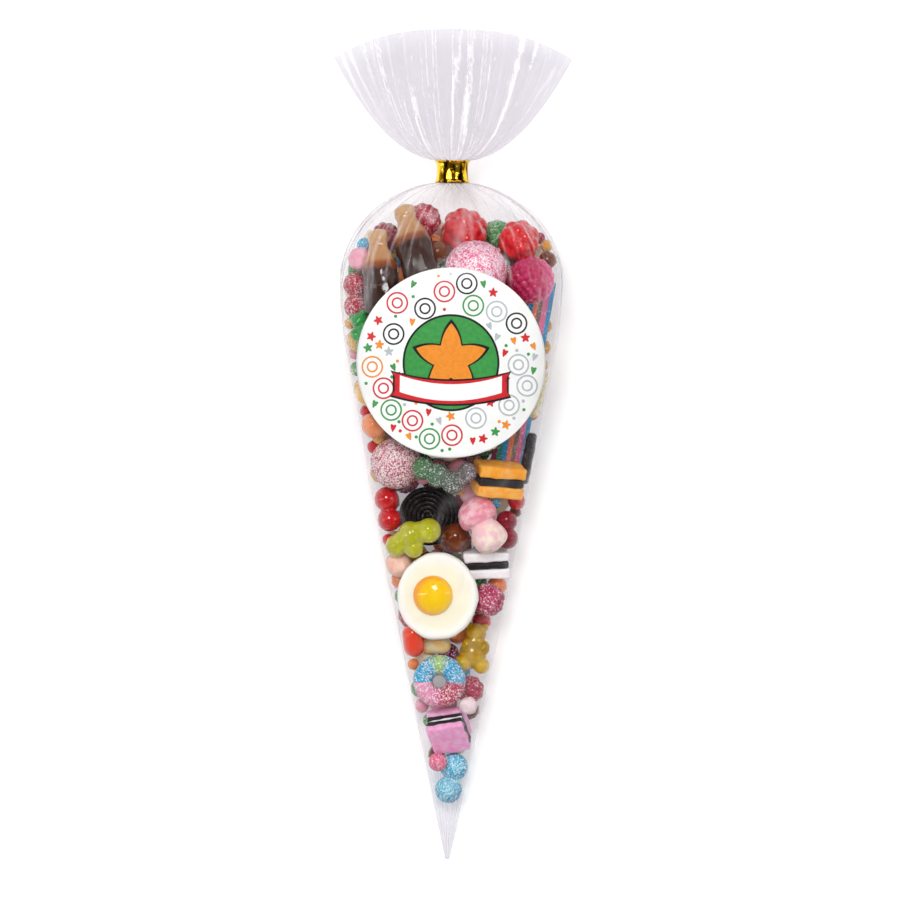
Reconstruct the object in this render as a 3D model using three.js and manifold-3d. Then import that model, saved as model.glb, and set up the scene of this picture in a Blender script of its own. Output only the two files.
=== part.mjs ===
// A clear film cone bag of mixed sweets, lying on its back.
// The bag is one piece of clear film: a cone from a closed tip to a round shoulder, drawn in by pleats to a
// neck, and flaring above the neck as a flat pleated fan. A gold band with wired edges holds the neck, a round
// sticker lies on the front, and the sweets are separate pieces packed against the front film.
//
// Millimetres. The tip points to -Y, the fan to +Y, and the front with its sticker to +Z. The bag rests on
// z = 0. The origin is on that plane, under the middle of the whole length.

import * as THREE from 'three';
import { mergeVertices } from 'three/addons/utils/BufferGeometryUtils.js';
import Module from 'manifold-3d';

const wasm = await Module();
wasm.setup();

// The bag
const BAG_LENGTH = 355;
const SHOULDER_FROM_TIP = 245;
const NECK_FROM_TIP = 289;
const BODY_WIDTH = 94.4;
const BODY_DEPTH = 58;
const FILM = 0.25;
const WIDEST_SHARE = 0.45;
const FLAT_SHARE = 0.09;
const FRONT_SQUARENESS = 3.1;
const BACK_SQUARENESS = 2.4;

// The gathers
const PLEATS = 14;
const POINTS_PER_PLEAT = 4;
const SHOULDER_PLEAT = 1.3;
const NECK_PLEAT = 0.9;
const FAN_PLEAT = 1.7;
const NECK_WIDTH = 11.6;
const NECK_DEPTH = 9;
const NECK_HEIGHT = 24;
const FAN_WIDTH = 101.6;
const FAN_MOUTH = 7;
const FAN_HEIGHT = 19;
const FAN_CORNER_DROP = 12.8;
const FAN_FLARE = 0.53;
const FAN_CORNER_CURVE = 2.5;
const SHOULDER_DRAW = 1.15;

// The band round the neck
const BAND_WIDTH = 9.4;
const BAND_THICKNESS = 0.35;
const BAND_WIRE = 0.9;
const BAND_WAIST = 0.45;
const BAND_LAP = 4;

// The sticker
const STICKER_DIAMETER = 80;
const STICKER_THICKNESS = 0.2;
const STICKER_FROM_TIP = 212;

// Clearances
const GAP = 0.3;
const STICKER_GAP = 0.4;
const SWEET_GAP = 0.3;
const WALL_GAP = 0.3;

// How far a sweet may lie from its stated place, and how much its depth counts against that
const MOST_SHIFT = 18;
const DEPTH_COST = 0.3;

// The cone's outline, as shares of the shoulder's distance, of half the body's width and of the body's depth
const CONE_OUTLINE = [
  { along: 0, half: 0.021, depth: 0.03 },
  { along: 0.012, half: 0.034, depth: 0.05 },
  { along: 0.06, half: 0.088, depth: 0.15 },
  { along: 0.112, half: 0.145, depth: 0.245 },
  { along: 0.18, half: 0.219, depth: 0.39 },
  { along: 0.3, half: 0.35, depth: 0.49 },
  { along: 0.54, half: 0.612, depth: 0.65 },
  { along: 0.77, half: 0.838, depth: 0.84 },
  { along: 0.91, half: 0.96, depth: 0.955 },
  { along: 1, half: 1, depth: 1 },
];
const SHOULDER_ANGLES = [20, 39, 56, 70, 82];
const FAN_STEPS = [0.035, 0.12, 0.28, 0.5, 0.75, 1];

const AROUND = PLEATS * POINTS_PER_PLEAT;

// The flat that the bag rests on: a straight-sided wedge of the back, so many points of a ring either side of
// the ring's lowest, and so wide at the shoulder
const REST_POINTS = 5;
const REST_HALF = 29;

const radians = THREE.MathUtils.degToRad;
const mix = THREE.MathUtils.lerp;
const atAlong = (along) => along - BAG_LENGTH / 2;

// Each station is one section of the film's middle surface. top and bottom are the reach above and below the
// widest height, lens turns the section from an oval into a flat lens, drop lowers its corners along Y, and
// rest is half the width of the flat under it.
function coneStation({ along, half, depth }) {
  const deep = depth * BODY_DEPTH;
  return {
    along: along * SHOULDER_FROM_TIP,
    half: (half * BODY_WIDTH) / 2,
    centre: WIDEST_SHARE * deep,
    top: (1 - WIDEST_SHARE) * deep,
    bottom: (WIDEST_SHARE + FLAT_SHARE) * deep,
    frontPower: FRONT_SQUARENESS,
    backPower: BACK_SQUARENESS,
    pleat: 0,
    lens: 0,
    drop: 0,
    rest: REST_HALF * mix(CONE_OUTLINE[0].half, 1, along),
  };
}

const neckHalf = NECK_WIDTH / 2 - NECK_PLEAT;
const neckDeep = NECK_DEPTH / 2 - NECK_PLEAT;
const shoulder = coneStation(CONE_OUTLINE.at(-1));

// The shoulder closes in on the neck along a quarter of an oval.
function shoulderStation(degrees) {
  const turned = Math.cos(radians(degrees)) ** SHOULDER_DRAW;
  const risen = Math.sin(radians(degrees));
  return {
    along: mix(SHOULDER_FROM_TIP, NECK_FROM_TIP, risen),
    half: mix(neckHalf, shoulder.half, turned),
    centre: mix(NECK_HEIGHT, shoulder.centre, turned),
    top: mix(neckDeep, shoulder.top, turned),
    bottom: mix(neckDeep, shoulder.centre, turned),
    frontPower: mix(2, FRONT_SQUARENESS, turned),
    backPower: mix(2, BACK_SQUARENESS, turned),
    pleat: SHOULDER_PLEAT * risen,
    lens: 0,
    drop: 0,
    rest: 0,
  };
}

// The fan opens quickly above the neck and then straightens, from an oval bunch to a lens with two corners.
function fanStation(share) {
  const opened = share ** FAN_FLARE;
  const neckTop = NECK_FROM_TIP + BAND_WIDTH;
  return {
    along: mix(neckTop, BAG_LENGTH, share),
    half: mix(neckHalf, FAN_WIDTH / 2, opened),
    centre: mix(NECK_HEIGHT, FAN_HEIGHT, share),
    top: mix(neckDeep, FAN_MOUTH / 2, opened),
    bottom: mix(neckDeep, FAN_MOUTH / 2, opened),
    frontPower: 2,
    backPower: 2,
    pleat: mix(NECK_PLEAT, FAN_PLEAT, Math.min(1, share * 3)),
    lens: opened,
    drop: FAN_CORNER_DROP * share,
    rest: 0,
  };
}

const STATIONS = [
  ...CONE_OUTLINE.map(coneStation),
  ...SHOULDER_ANGLES.map(shoulderStation),
  { ...fanStation(0), along: NECK_FROM_TIP },
  fanStation(0),
  ...FAN_STEPS.map(fanStation),
];

const signedPower = (value, power) => Math.sign(value) * Math.abs(value) ** power;

// The film's middle line round one station, with its pleats, as points with the outward normal
function filmRing(station) {
  const smooth = [];
  for (let i = 0; i < AROUND; i++) {
    const turn = (2 * Math.PI * i) / AROUND;
    const front = i <= AROUND / 2;
    const power = 2 / (front ? station.frontPower : station.backPower);
    const across = signedPower(Math.cos(turn), power);
    const up = signedPower(Math.sin(turn), power);
    const flatAcross = 1 - (4 * (front ? i : AROUND - i)) / AROUND;
    const flatUp = (1 - flatAcross ** 2) * (front ? 1 : -1);
    const reach = front ? station.top : station.bottom;
    const height = station.centre + reach * mix(up, flatUp, station.lens);
    smooth.push([station.half * mix(across, flatAcross, station.lens), Math.max(height, FILM / 2)]);
  }
  const normalAt = (points, i) => {
    const before = points[(i + AROUND - 1) % AROUND];
    const after = points[(i + 1) % AROUND];
    const [dx, dz] = [after[0] - before[0], after[1] - before[1]];
    const size = Math.hypot(dx, dz);
    return [dz / size, -dx / size];
  };
  const pleated = smooth.map(([x, z], i) => {
    const faded = 1 - station.lens * (x / station.half) ** 4;
    const wave = station.pleat * faded * Math.cos((2 * Math.PI * i) / POINTS_PER_PLEAT);
    const [nx, nz] = normalAt(smooth, i);
    const fromLowest = i - (3 * AROUND) / 4;
    return station.rest && Math.abs(fromLowest) <= REST_POINTS
      ? [(station.rest * fromLowest) / REST_POINTS, FILM / 2]
      : [x + nx * wave, Math.max(z + nz * wave, FILM / 2)];
  });
  return pleated.map(([x, z], i) => {
    const toCorner = Math.min(1, Math.abs(x / station.half) ** FAN_CORNER_CURVE);
    const y = atAlong(station.along) - station.drop * toCorner;
    return { x, y, z, normal: normalAt(pleated, i) };
  });
}

// Points and triangles collected into one closed body
class Body {
  constructor() {
    this.positions = [];
    this.triangles = [];
  }
  point(x, y, z) {
    this.positions.push(x, y, z);
    return this.positions.length / 3 - 1;
  }
  quad(a, b, c, d) {
    this.triangles.push(a, b, c, a, c, d);
  }
  // A band of quads between two rings of points, which may be closed round
  strip(lower, upper, closed = true) {
    const last = lower.length - (closed ? 0 : 1);
    for (let i = 0; i < last; i++) {
      const next = (i + 1) % lower.length;
      this.quad(lower[i], upper[i], upper[next], lower[next]);
    }
  }
  cap(ring, centre) {
    ring.forEach((point, i) => this.triangles.push(centre, point, ring[(i + 1) % ring.length]));
  }
  geometry() {
    const geometry = new THREE.BufferGeometry();
    geometry.setAttribute('position', new THREE.Float32BufferAttribute(this.positions, 3));
    geometry.setIndex(this.triangles);
    return geometry;
  }
}

// The bag: an outer and an inner skin, joined round the open rim of the fan and closed at the tip
function filmBag() {
  const body = new Body();
  const skin = (stations, side) =>
    stations.map((station) =>
      filmRing(station).map(({ x, y, z, normal }) =>
        body.point(x + (side * normal[0] * FILM) / 2, y, z + (side * normal[1] * FILM) / 2),
      ),
    );
  const outer = skin(STATIONS, 1);
  const inner = skin(STATIONS.slice(1), -1).map((ring) => ring.toReversed());
  for (const rings of [outer, inner]) {
    rings.slice(1).forEach((ring, i) => body.strip(rings[i], ring));
  }
  body.strip(outer.at(-1), inner.at(-1).toReversed());
  const tip = STATIONS[0];
  body.cap(outer[0], body.point(0, atAlong(tip.along), tip.centre));
  body.cap(inner[0], body.point(0, atAlong(STATIONS[1].along), STATIONS[1].centre));
  return body.geometry();
}

// The section between two stations, at one distance from the tip
function sectionBetween(along) {
  const next = STATIONS.findIndex((station) => station.along > along);
  const [a, b] = [STATIONS[next - 1], STATIONS[next]];
  const share = (along - a.along) / (b.along - a.along);
  return Object.fromEntries(Object.keys(a).map((key) => [key, mix(a[key], b[key], share)]));
}

const sectionsPerMm = 4;
const sections = Array.from({ length: NECK_FROM_TIP * sectionsPerMm }, (_, i) =>
  sectionBetween(i / sectionsPerMm),
);
const sectionAt = (along) =>
  sections[Math.round(THREE.MathUtils.clamp(along, 0, NECK_FROM_TIP - 1) * sectionsPerMm)];

// The height of the front film's middle surface over one point of the body
function frontHeight(across, along) {
  const { half, centre, top, frontPower } = sectionAt(along);
  const inside = Math.max(0, 1 - Math.abs(across / half) ** frontPower);
  return centre + top * inside ** (1 / frontPower);
}

// The round sticker, bent to the front film, with its outline a true circle as seen from the front
function sticker() {
  const rims = [0.4, 0.65, 0.8, 0.9, 0.96, 1];
  const segments = 40;
  const body = new Body();
  const sheet = (lift) => {
    const at = (across, along) => {
      const slopeAcross = (frontHeight(across + 1, along) - frontHeight(across - 1, along)) / 2;
      const slopeAlong = (frontHeight(across, along + 1) - frontHeight(across, along - 1)) / 2;
      const normal = new THREE.Vector3(-slopeAcross, -slopeAlong, 1).normalize();
      const foot = new THREE.Vector3(across, atAlong(along), frontHeight(across, along));
      const lifted = foot.addScaledVector(normal, lift);
      return body.point(across, atAlong(along), lifted.z + (lift * (1 - normal.z ** 2)) / normal.z);
    };
    const rings = rims.map((share) =>
      Array.from({ length: segments }, (_, i) => {
        const turn = (2 * Math.PI * i) / segments;
        const reach = (share * STICKER_DIAMETER) / 2;
        return at(reach * Math.cos(turn), STICKER_FROM_TIP + reach * Math.sin(turn));
      }),
    );
    return { middle: at(0, STICKER_FROM_TIP), rings };
  };
  const under = sheet(FILM / 2 + STICKER_GAP);
  const over = sheet(FILM / 2 + STICKER_GAP + STICKER_THICKNESS);
  for (let i = 1; i < rims.length; i++) {
    body.strip(over.rings[i - 1], over.rings[i]);
    body.strip(under.rings[i], under.rings[i - 1]);
  }
  body.cap(over.rings[0], over.middle);
  body.cap(under.rings[0].toReversed(), under.middle);
  body.strip(over.rings.at(-1), under.rings.at(-1));
  return body.geometry();
}

// The band: a thin strip with a wire along each edge, bent once round the neck, its ends lapped at the back
function neckBand() {
  const wireShare = BAND_WIRE / BAND_WIDTH;
  // Places across the strip, as shares of its width, with its inner and outer faces there
  const section = [
    { share: 0, rise: 0.15 },
    { share: wireShare / 2, rise: 1 },
    { share: wireShare * 1.2, rise: 0 },
    { share: 0.5, rise: 0 },
    { share: 1 - wireShare * 1.2, rise: 0 },
    { share: 1 - wireShare / 2, rise: 1 },
    { share: 1, rise: 0.15 },
  ];
  const steps = 28;
  const lapTurn = BAND_LAP / NECK_WIDTH;
  const neckGap = FILM / 2 + GAP;
  const lapRise = BAND_WIRE + GAP;
  const body = new Body();
  const loops = [];
  for (let i = 0; i <= steps; i++) {
    const turn = -Math.PI / 2 - lapTurn + ((2 * Math.PI + 2 * lapTurn) * i) / steps;
    const lapped = Math.max(0, i / steps - 0.75) * 4;
    const outward = neckGap + lapRise * lapped ** 2;
    const power = 2 / 3;
    const across = (reach) => signedPower(Math.cos(turn), power) * (NECK_WIDTH / 2 + outward + reach);
    const up = (reach) => signedPower(Math.sin(turn), power) * (NECK_DEPTH / 2 + outward + reach);
    const place = (share, reach) =>
      body.point(across(reach), atAlong(NECK_FROM_TIP + share * BAND_WIDTH), NECK_HEIGHT + up(reach));
    const outerFace = section.map(({ share, rise }) => {
      const waist = BAND_WAIST * Math.sin(Math.PI * share);
      return place(share, BAND_WAIST + BAND_THICKNESS + rise * (BAND_WIRE - BAND_THICKNESS) - waist);
    });
    const innerFace = section.map(({ share }) =>
      place(share, BAND_WAIST * (1 - Math.sin(Math.PI * share))),
    );
    loops.push([...innerFace, ...outerFace.toReversed()]);
  }
  loops.slice(1).forEach((loop, i) => body.strip(loops[i], loop));
  const endFace = (loop) => {
    const last = loop.length - 1;
    for (let i = 0; i < section.length - 1; i++) {
      body.quad(loop[i], loop[i + 1], loop[last - i - 1], loop[last - i]);
    }
  };
  endFace(loops[0]);
  endFace(loops.at(-1).toReversed());
  return body.geometry();
}

const asSolid = (geometry) => {
  const bare = new THREE.BufferGeometry();
  bare.setAttribute('position', geometry.getAttribute('position'));
  bare.setIndex(geometry.index);
  const merged = mergeVertices(bare, 1e-3);
  const vertProperties = new Float32Array(merged.attributes.position.array);
  const triVerts = new Uint32Array(merged.index.array);
  return new wasm.Manifold(new wasm.Mesh({ numProp: 3, vertProperties, triVerts }));
};

const asGeometry = (solid) => {
  const { vertProperties, triVerts } = solid.getMesh();
  const geometry = new THREE.BufferGeometry();
  geometry.setAttribute('position', new THREE.BufferAttribute(vertProperties, 3));
  geometry.setIndex(new THREE.BufferAttribute(triVerts, 1));
  return geometry;
};

// The sweets. Each is made round its own middle, with +Y up the bag and +Z to the front.

function ball(radius, flatness = 1, sides = 9) {
  return new THREE.SphereGeometry(radius, sides, 6).scale(1, 1, flatness);
}

function turned(profile, sides = 12) {
  return new THREE.LatheGeometry(
    profile.map(([radius, height]) => new THREE.Vector2(radius, height)),
    sides,
  );
}

// Round lobes run together, each given by its middle, its radius and its length along Y
function lobes(list, flatness = 1) {
  const [first, ...others] = list.map(({ x = 0, y = 0, z = 0, radius, tall = 1 }) =>
    asSolid(new THREE.SphereGeometry(radius, 9, 6).scale(1, tall, 1).translate(x, y, z)),
  );
  return asGeometry(others.reduce((joined, lobe) => joined.add(lobe), first)).scale(1, 1, flatness);
}

function friedEgg(width, length) {
  const foam = 6;
  const radius = width / 2;
  const yolk = 0.46 * radius;
  const profile = [
    [0, -foam / 2],
    [0.88 * radius, -foam / 2],
    [radius, -foam / 6],
    [radius, foam / 6],
    [0.93 * radius, 0.43 * foam],
    [yolk, foam / 2],
    [0.85 * yolk, foam / 2 + 1.8],
    [0.5 * yolk, foam / 2 + 3],
    [0, foam / 2 + 3.4],
  ];
  return turned(profile, 18).rotateX(Math.PI / 2).scale(1, length / width, 1);
}

function colaBottle(length) {
  const profile = [
    [0, -0.5],
    [0.17, -0.5],
    [0.21, -0.44],
    [0.195, -0.2],
    [0.22, 0],
    [0.165, 0.17],
    [0.11, 0.28],
    [0.13, 0.4],
    [0.11, 0.48],
    [0, 0.5],
  ].map((pair) => pair.map((share) => share * length));
  return turned(profile, 10).scale(1, 1, 0.7);
}

function sugarDome(radius) {
  const profile = [
    [0, -0.6],
    [0.93, -0.6],
    [1, -0.48],
    [0.97, -0.07],
    [0.8, 0.3],
    [0.48, 0.57],
    [0, 0.67],
  ].map((pair) => pair.map((share) => share * radius));
  return turned(profile, 14);
}

function mushroom(length) {
  const profile = [
    [0, -0.5],
    [0.18, -0.48],
    [0.3, -0.36],
    [0.33, -0.2],
    [0.26, -0.04],
    [0.2, 0.02],
    [0.31, 0.06],
    [0.355, 0.2],
    [0.29, 0.38],
    [0.15, 0.475],
    [0, 0.5],
  ].map((pair) => pair.map((share) => share * length));
  return turned(profile, 12).scale(1, 1, 0.85);
}

// A cord of liquorice wound flat: one ridge for each turn, on both faces
function liquoriceWheel(radius, turns = 4) {
  const cord = radius / (turns + 0.5);
  const half = 0.95 * cord;
  const ridges = [];
  for (let i = 0; i < turns; i++) {
    const middle = radius - (i + 0.5) * cord;
    ridges.push([middle, half], [middle - cord / 2, 0.55 * half]);
  }
  const face = [[radius, 0.4 * half], ...ridges];
  const profile = [
    [0, -0.4 * half],
    ...face.toReversed().map(([r, h]) => [r, -h]),
    ...face,
    [0, 0.4 * half],
  ];
  return turned(profile, 18).rotateX(Math.PI / 2);
}

function ringSweet(outer, tube) {
  return new THREE.TorusGeometry(outer - tube, tube, 7, 16);
}

// A sandwich of two sugar slabs and a darker one between them, stacked along Y
function allsort(width, height, depth) {
  const filling = 0.1 * height;
  const inset = 0.025 * width;
  const right = [
    [width / 2, -height / 2],
    [width / 2, -filling],
    [width / 2 - inset, -filling],
    [width / 2 - inset, filling],
    [width / 2, filling],
    [width / 2, height / 2],
  ];
  const left = right.map(([x, y]) => [-x, y]).reverse();
  const outline = new THREE.Shape([...right, ...left].map(([x, y]) => new THREE.Vector2(x, y)));
  return new THREE.ExtrudeGeometry(outline, { depth, bevelEnabled: false }).translate(0, 0, -depth / 2);
}

// A place in the body, given as a share of half its width there and a share of the way from tip to shoulder
function placeInBody([out, up]) {
  const along = up * SHOULDER_FROM_TIP;
  return [(out * BODY_WIDTH * outlineHalf(Math.min(up, 1))) / 2, along];
}

// The cone's half width at one share of the way to the shoulder, itself as a share
function outlineHalf(up) {
  const next = Math.max(1, CONE_OUTLINE.findIndex(({ along }) => along >= up));
  const [a, b] = [CONE_OUTLINE[next - 1], CONE_OUTLINE[next]];
  return mix(a.half, b.half, (up - a.along) / (b.along - a.along));
}

// A sour strip that follows the front film between two places in the body
function sourBelt(low, high, width) {
  const thickness = 2.2;
  const [from, to] = [placeInBody(low), placeInBody(high)];
  const [across, along] = to.map((end, i) => end - from[i]);
  const strip = new THREE.BoxGeometry(width, Math.hypot(across, along), thickness, 2, 7, 1);
  const middle = from.map((start, i) => (start + to[i]) / 2);
  const lean = Math.atan2(across, along);
  const place = strip.rotateZ(-lean).getAttribute('position');
  for (let i = 0; i < place.count; i++) {
    const height = frontHeight(middle[0] + place.getX(i), middle[1] + place.getY(i));
    place.setZ(i, place.getZ(i) + height - BODY_DEPTH);
  }
  return strip;
}

function stick(length, radius) {
  return new THREE.CylinderGeometry(radius, radius, length, 10);
}

function jellyBean(length, radius) {
  return new THREE.CapsuleGeometry(radius, length - 2 * radius, 3, 9);
}

function twoLobes(upper, lower, apart) {
  return lobes([
    { y: apart / 2, radius: upper },
    { y: -apart / 2, radius: lower },
  ]);
}

function jellyBear(height) {
  const unit = height / 24;
  return lobes([
    { y: -2 * unit, radius: 6.2 * unit, tall: 1.15 },
    { y: 7 * unit, radius: 5 * unit },
    { x: -4.5 * unit, y: -8 * unit, z: 1.5 * unit, radius: 3.6 * unit, tall: 1.1 },
    { x: 4.5 * unit, y: -8 * unit, z: 1.5 * unit, radius: 3.6 * unit, tall: 1.1 },
  ]);
}

function limeBaby() {
  return lobes([
    { x: 7, y: 2.5, radius: 5.4 },
    { x: -1, y: 0.5, radius: 5.5, tall: 1.1 },
    { x: -7, y: -4, radius: 4.8 },
    { x: 0.5, y: -5, radius: 4.2 },
  ]);
}

function crocodile() {
  return lobes([
    { x: -9, y: 3, radius: 4.6, tall: 1.05 },
    { x: -2.5, y: 0, radius: 5.2 },
    { x: 4, y: -3, radius: 5 },
    { x: 10, y: 1.5, radius: 4 },
  ]);
}

function sugarHeart(width) {
  const half = width / 2;
  const outline = new THREE.Shape();
  outline.moveTo(0, -0.9 * half);
  outline.quadraticCurveTo(0.95 * half, -0.2 * half, 0.85 * half, 0.35 * half);
  outline.quadraticCurveTo(0.55 * half, 1.05 * half, 0, 0.45 * half);
  outline.quadraticCurveTo(-0.55 * half, 1.05 * half, -0.85 * half, 0.35 * half);
  outline.quadraticCurveTo(-0.95 * half, -0.2 * half, 0, -0.9 * half);
  const depth = 0.3 * width;
  const round = 0.14 * width;
  const settings = { depth, curveSegments: 3, bevelSize: round, bevelThickness: round, bevelSegments: 1 };
  return new THREE.ExtrudeGeometry(outline, settings).translate(0, 0, -depth / 2);
}

// The sweets that show, from the front ones to those behind them. out is the place across as a share of half
// the body's width there, up the place along as a share of the way from the tip to the shoulder, and turn the
// rotation about X, Y and Z in degrees.
const FRONT_SWEETS = [
  {
    name: 'fried_egg', colour: '#f3ead9', out: -0.193, up: 0.462, turn: [2, -8, 0],
    shape: () => friedEgg(35, 37.6),
  },
  {
    name: 'mushroom', colour: '#efb3c4', out: 0.451, up: 0.5869, turn: [-12, 8, 27],
    shape: () => mushroom(24.5),
  },
  {
    name: 'orange_allsort', colour: '#e89a3c', out: 0.645, up: 0.6327, turn: [16, 18, -4],
    shape: () => allsort(20.5, 13.5, 13),
  },
  { name: 'lime_baby', colour: '#c8c93a', shape: limeBaby, out: -0.526, up: 0.5653, turn: [0, -14, 0] },
  { name: 'cola_ball', colour: '#5b2a12', shape: () => ball(6.4), out: 0.087, up: 0.5629 },
  {
    name: 'blue_baby', colour: '#4fb2d6', out: 0.196, up: 0.138, turn: [0, 0, -13],
    shape: () => twoLobes(6.2, 6, 10.8),
  },
  {
    name: 'pink_allsort', colour: '#e58bc0', out: 0.016, up: 0.2188, turn: [131, -12, 10],
    shape: () => allsort(16, 12.5, 15.5),
  },
  {
    name: 'sour_ring', colour: '#52b4d8', out: -0.227, up: 0.3131, turn: [3, -6, 0],
    shape: () => ringSweet(12.2, 4.5),
  },
  {
    name: 'yellow_bear', colour: '#c8a92c', out: 0.474, up: 0.3804, turn: [0, 12, -8],
    shape: () => jellyBear(24),
  },
  {
    name: 'liquorice_wheel', colour: '#191517', out: -0.274, up: 0.6024, turn: [6, -6, 0],
    shape: () => liquoriceWheel(13.2),
  },
  {
    name: 'white_allsort', colour: '#efe6e4', out: 0.538, up: 0.5347, turn: [12, 6, 3],
    shape: () => allsort(19.5, 11.5, 12),
  },
  { name: 'crocodile', colour: '#7d8f72', shape: crocodile, out: 0.074, up: 0.671 },
  {
    name: 'plum_ball', colour: '#b04a58', out: -0.643, up: 0.6914, turn: [0, -10, 0],
    shape: () => ball(11, 0.9, 12),
  },
  {
    name: 'sour_belt', colour: '#3f9aa8', out: 0.738, up: 0.8367,
    shape: () => sourBelt([0.693, 0.6612], [0.818, 1.0122], 14),
  },
  {
    name: 'cola_bottle_middle', colour: '#6d3a1c', out: -0.339, up: 1.0673, turn: [-20, -6, 18.6],
    shape: () => colaBottle(38),
  },
  {
    name: 'cola_bottle_left', colour: '#5d2f18', out: -0.644, up: 1.022, turn: [-12, -22, 9],
    shape: () => colaBottle(38),
  },
  {
    name: 'pink_dome', colour: '#e07a9c', out: 0.229, up: 1.0392, turn: [22, 0, -10],
    shape: () => sugarDome(13.5),
  },
  {
    name: 'magenta_berry', colour: '#c2185b', out: 0.733, up: 1.0343, turn: [0, 20, 0],
    shape: () => ball(10.3, 0.9, 12),
  },
  { name: 'red_berry_right', colour: '#d81f2c', shape: () => ball(9.2), out: 0.606, up: 1.0784 },
  { name: 'red_berry_middle', colour: '#d3202f', shape: () => ball(10.4), out: 0.114, up: 1.0947 },
  {
    name: 'red_baby', colour: '#b5121b', out: -0.783, up: 0.6114, turn: [0, 0, 8],
    shape: () => twoLobes(5.4, 5.2, 9),
  },
  { name: 'raspberry', colour: '#b13060', shape: () => ball(7.3), out: 0.684, up: 0.4841 },
  {
    name: 'small_cherries', colour: '#7d1730', out: 0.696, up: 0.4424, turn: [0, 0, 80],
    shape: () => twoLobes(3.9, 3.4, 5.8),
  },
  {
    name: 'dark_cherries', colour: '#86182c', out: 0.824, up: 0.5612, turn: [0, 0, 4],
    shape: () => twoLobes(4.6, 4.6, 7.4),
  },
  { name: 'peach_foam', colour: '#f2b8a0', shape: () => ball(5.8), out: -0.702, up: 0.5159 },
  {
    name: 'coral_jelly', colour: '#e2513a', out: -0.72, up: 0.3837, turn: [0, 0, 8],
    shape: () => jellyBean(14.5, 4.6),
  },
  {
    name: 'cream_foam', colour: '#f3dfa8', out: -0.289, up: 0.3755, turn: [0, 0, 88],
    shape: () => jellyBean(13.6, 3.6),
  },
  { name: 'pink_berry', colour: '#b0355a', shape: () => ball(6), out: 0.573, up: 0.298 },
  { name: 'pale_foam', colour: '#eed3d8', shape: () => ball(4), out: 0.614, up: 0.251 },
  { name: 'pink_jelly', colour: '#e58aa6', shape: () => ball(3.9, 1, 8), out: -0.464, up: 0.1633 },
  {
    name: 'liquorice_stick', colour: '#1d1719', out: 0.907, up: 0.702, turn: [10, 0, -10],
    shape: () => stick(22, 2.3),
  },
  {
    name: 'beige_worm', colour: '#d9c7a6', out: 0.134, up: 0.72, turn: [0, 0, -81],
    shape: () => jellyBean(31, 4.3),
  },
  {
    name: 'lemon_worm', colour: '#ead79a', out: 0.902, up: 0.8163, turn: [6, 0, -12],
    shape: () => jellyBean(22, 3.6),
  },
  { name: 'orange_jelly', colour: '#e58a5c', shape: () => ball(5.8), out: -0.821, up: 0.7576 },
  { name: 'yellow_jelly', colour: '#e9b54a', shape: () => ball(5.4), out: -0.872, up: 0.8122 },
  {
    name: 'green_bear', colour: '#3f9a55', out: -0.813, up: 0.9204, turn: [0, -30, 24],
    shape: () => jellyBear(20),
  },
  {
    name: 'cherries', colour: '#b02f4c', out: -0.867, up: 0.982, turn: [0, 0, 2],
    shape: () => twoLobes(5.1, 5.1, 9.6),
  },
  { name: 'pink_foam', colour: '#eaa0b4', shape: () => ball(5.2), out: -0.839, up: 1.0408 },
  { name: 'wine_berry', colour: '#9c2f35', shape: () => ball(6.6), out: -0.593, up: 1.0837 },
  { name: 'top_raspberry', colour: '#b52a45', shape: () => ball(7.4), out: -0.203, up: 1.1061 },
  { name: 'toffee', colour: '#6b3a1a', shape: () => ball(5.4), out: -0.078, up: 1.0571 },
  { name: 'olive_jelly', colour: '#9a8f35', shape: () => ball(6.8), out: 0.55, up: 0.99 },
];

// The sweets behind, which show from the back and the sides
const BACK_SWEETS = [
  {
    name: 'back_heart', colour: '#d63a55', out: 0.386, up: 0.9714, turn: [0, 0, 20],
    shape: () => sugarHeart(20),
  },
  {
    name: 'back_bottle', colour: '#6b3a1c', out: -0.346, up: 0.9551, turn: [0, 0, -35],
    shape: () => colaBottle(36),
  },
  { name: 'back_berry', colour: '#c41f3a', shape: () => ball(9.5), out: 0, up: 1.0367 },
  {
    name: 'back_bear', colour: '#e0b52e', out: 0.391, up: 0.8653, turn: [0, 180, 15],
    shape: () => jellyBear(24),
  },
  { name: 'back_ring', colour: '#e8853c', shape: () => ringSweet(11.5, 4.2), out: -0.14, up: 0.849 },
  {
    name: 'back_allsort', colour: '#e58bc0', out: -0.616, up: 0.8735, turn: [0, 0, 30],
    shape: () => allsort(18, 13, 16),
  },
  { name: 'back_wheel', colour: '#191517', shape: () => liquoriceWheel(12.5), out: 0.307, up: 0.7592 },
  {
    name: 'back_baby', colour: '#3f9a55', out: -0.408, up: 0.7633, turn: [0, 0, 60],
    shape: () => twoLobes(6.6, 6.2, 11),
  },
  {
    name: 'back_dome', colour: '#d8506f', out: 0, up: 0.6735, turn: [-90, 0, 0],
    shape: () => sugarDome(10),
  },
  {
    name: 'back_cherries', colour: '#86182c', out: -0.022, up: 0.9347, turn: [0, 0, 70],
    shape: () => twoLobes(6.2, 6, 11),
  },
  { name: 'back_raspberry', colour: '#b13060', shape: () => ball(6.8), out: -0.527, up: 0.6531 },
  {
    name: 'back_bean', colour: '#e2513a', out: 0, up: 0.5837, turn: [0, 0, 75],
    shape: () => jellyBean(18, 4.2),
  },
  { name: 'back_jelly', colour: '#7fae3e', shape: () => ball(5.6), out: 0.073, up: 0.5143 },
  { name: 'back_heart_small', colour: '#d63a55', shape: () => sugarHeart(12), out: -0.257, up: 0.4327 },
  { name: 'back_berry_low', colour: '#9c2f6a', shape: () => ball(4.6), out: 0, up: 0.3592 },
];

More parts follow.
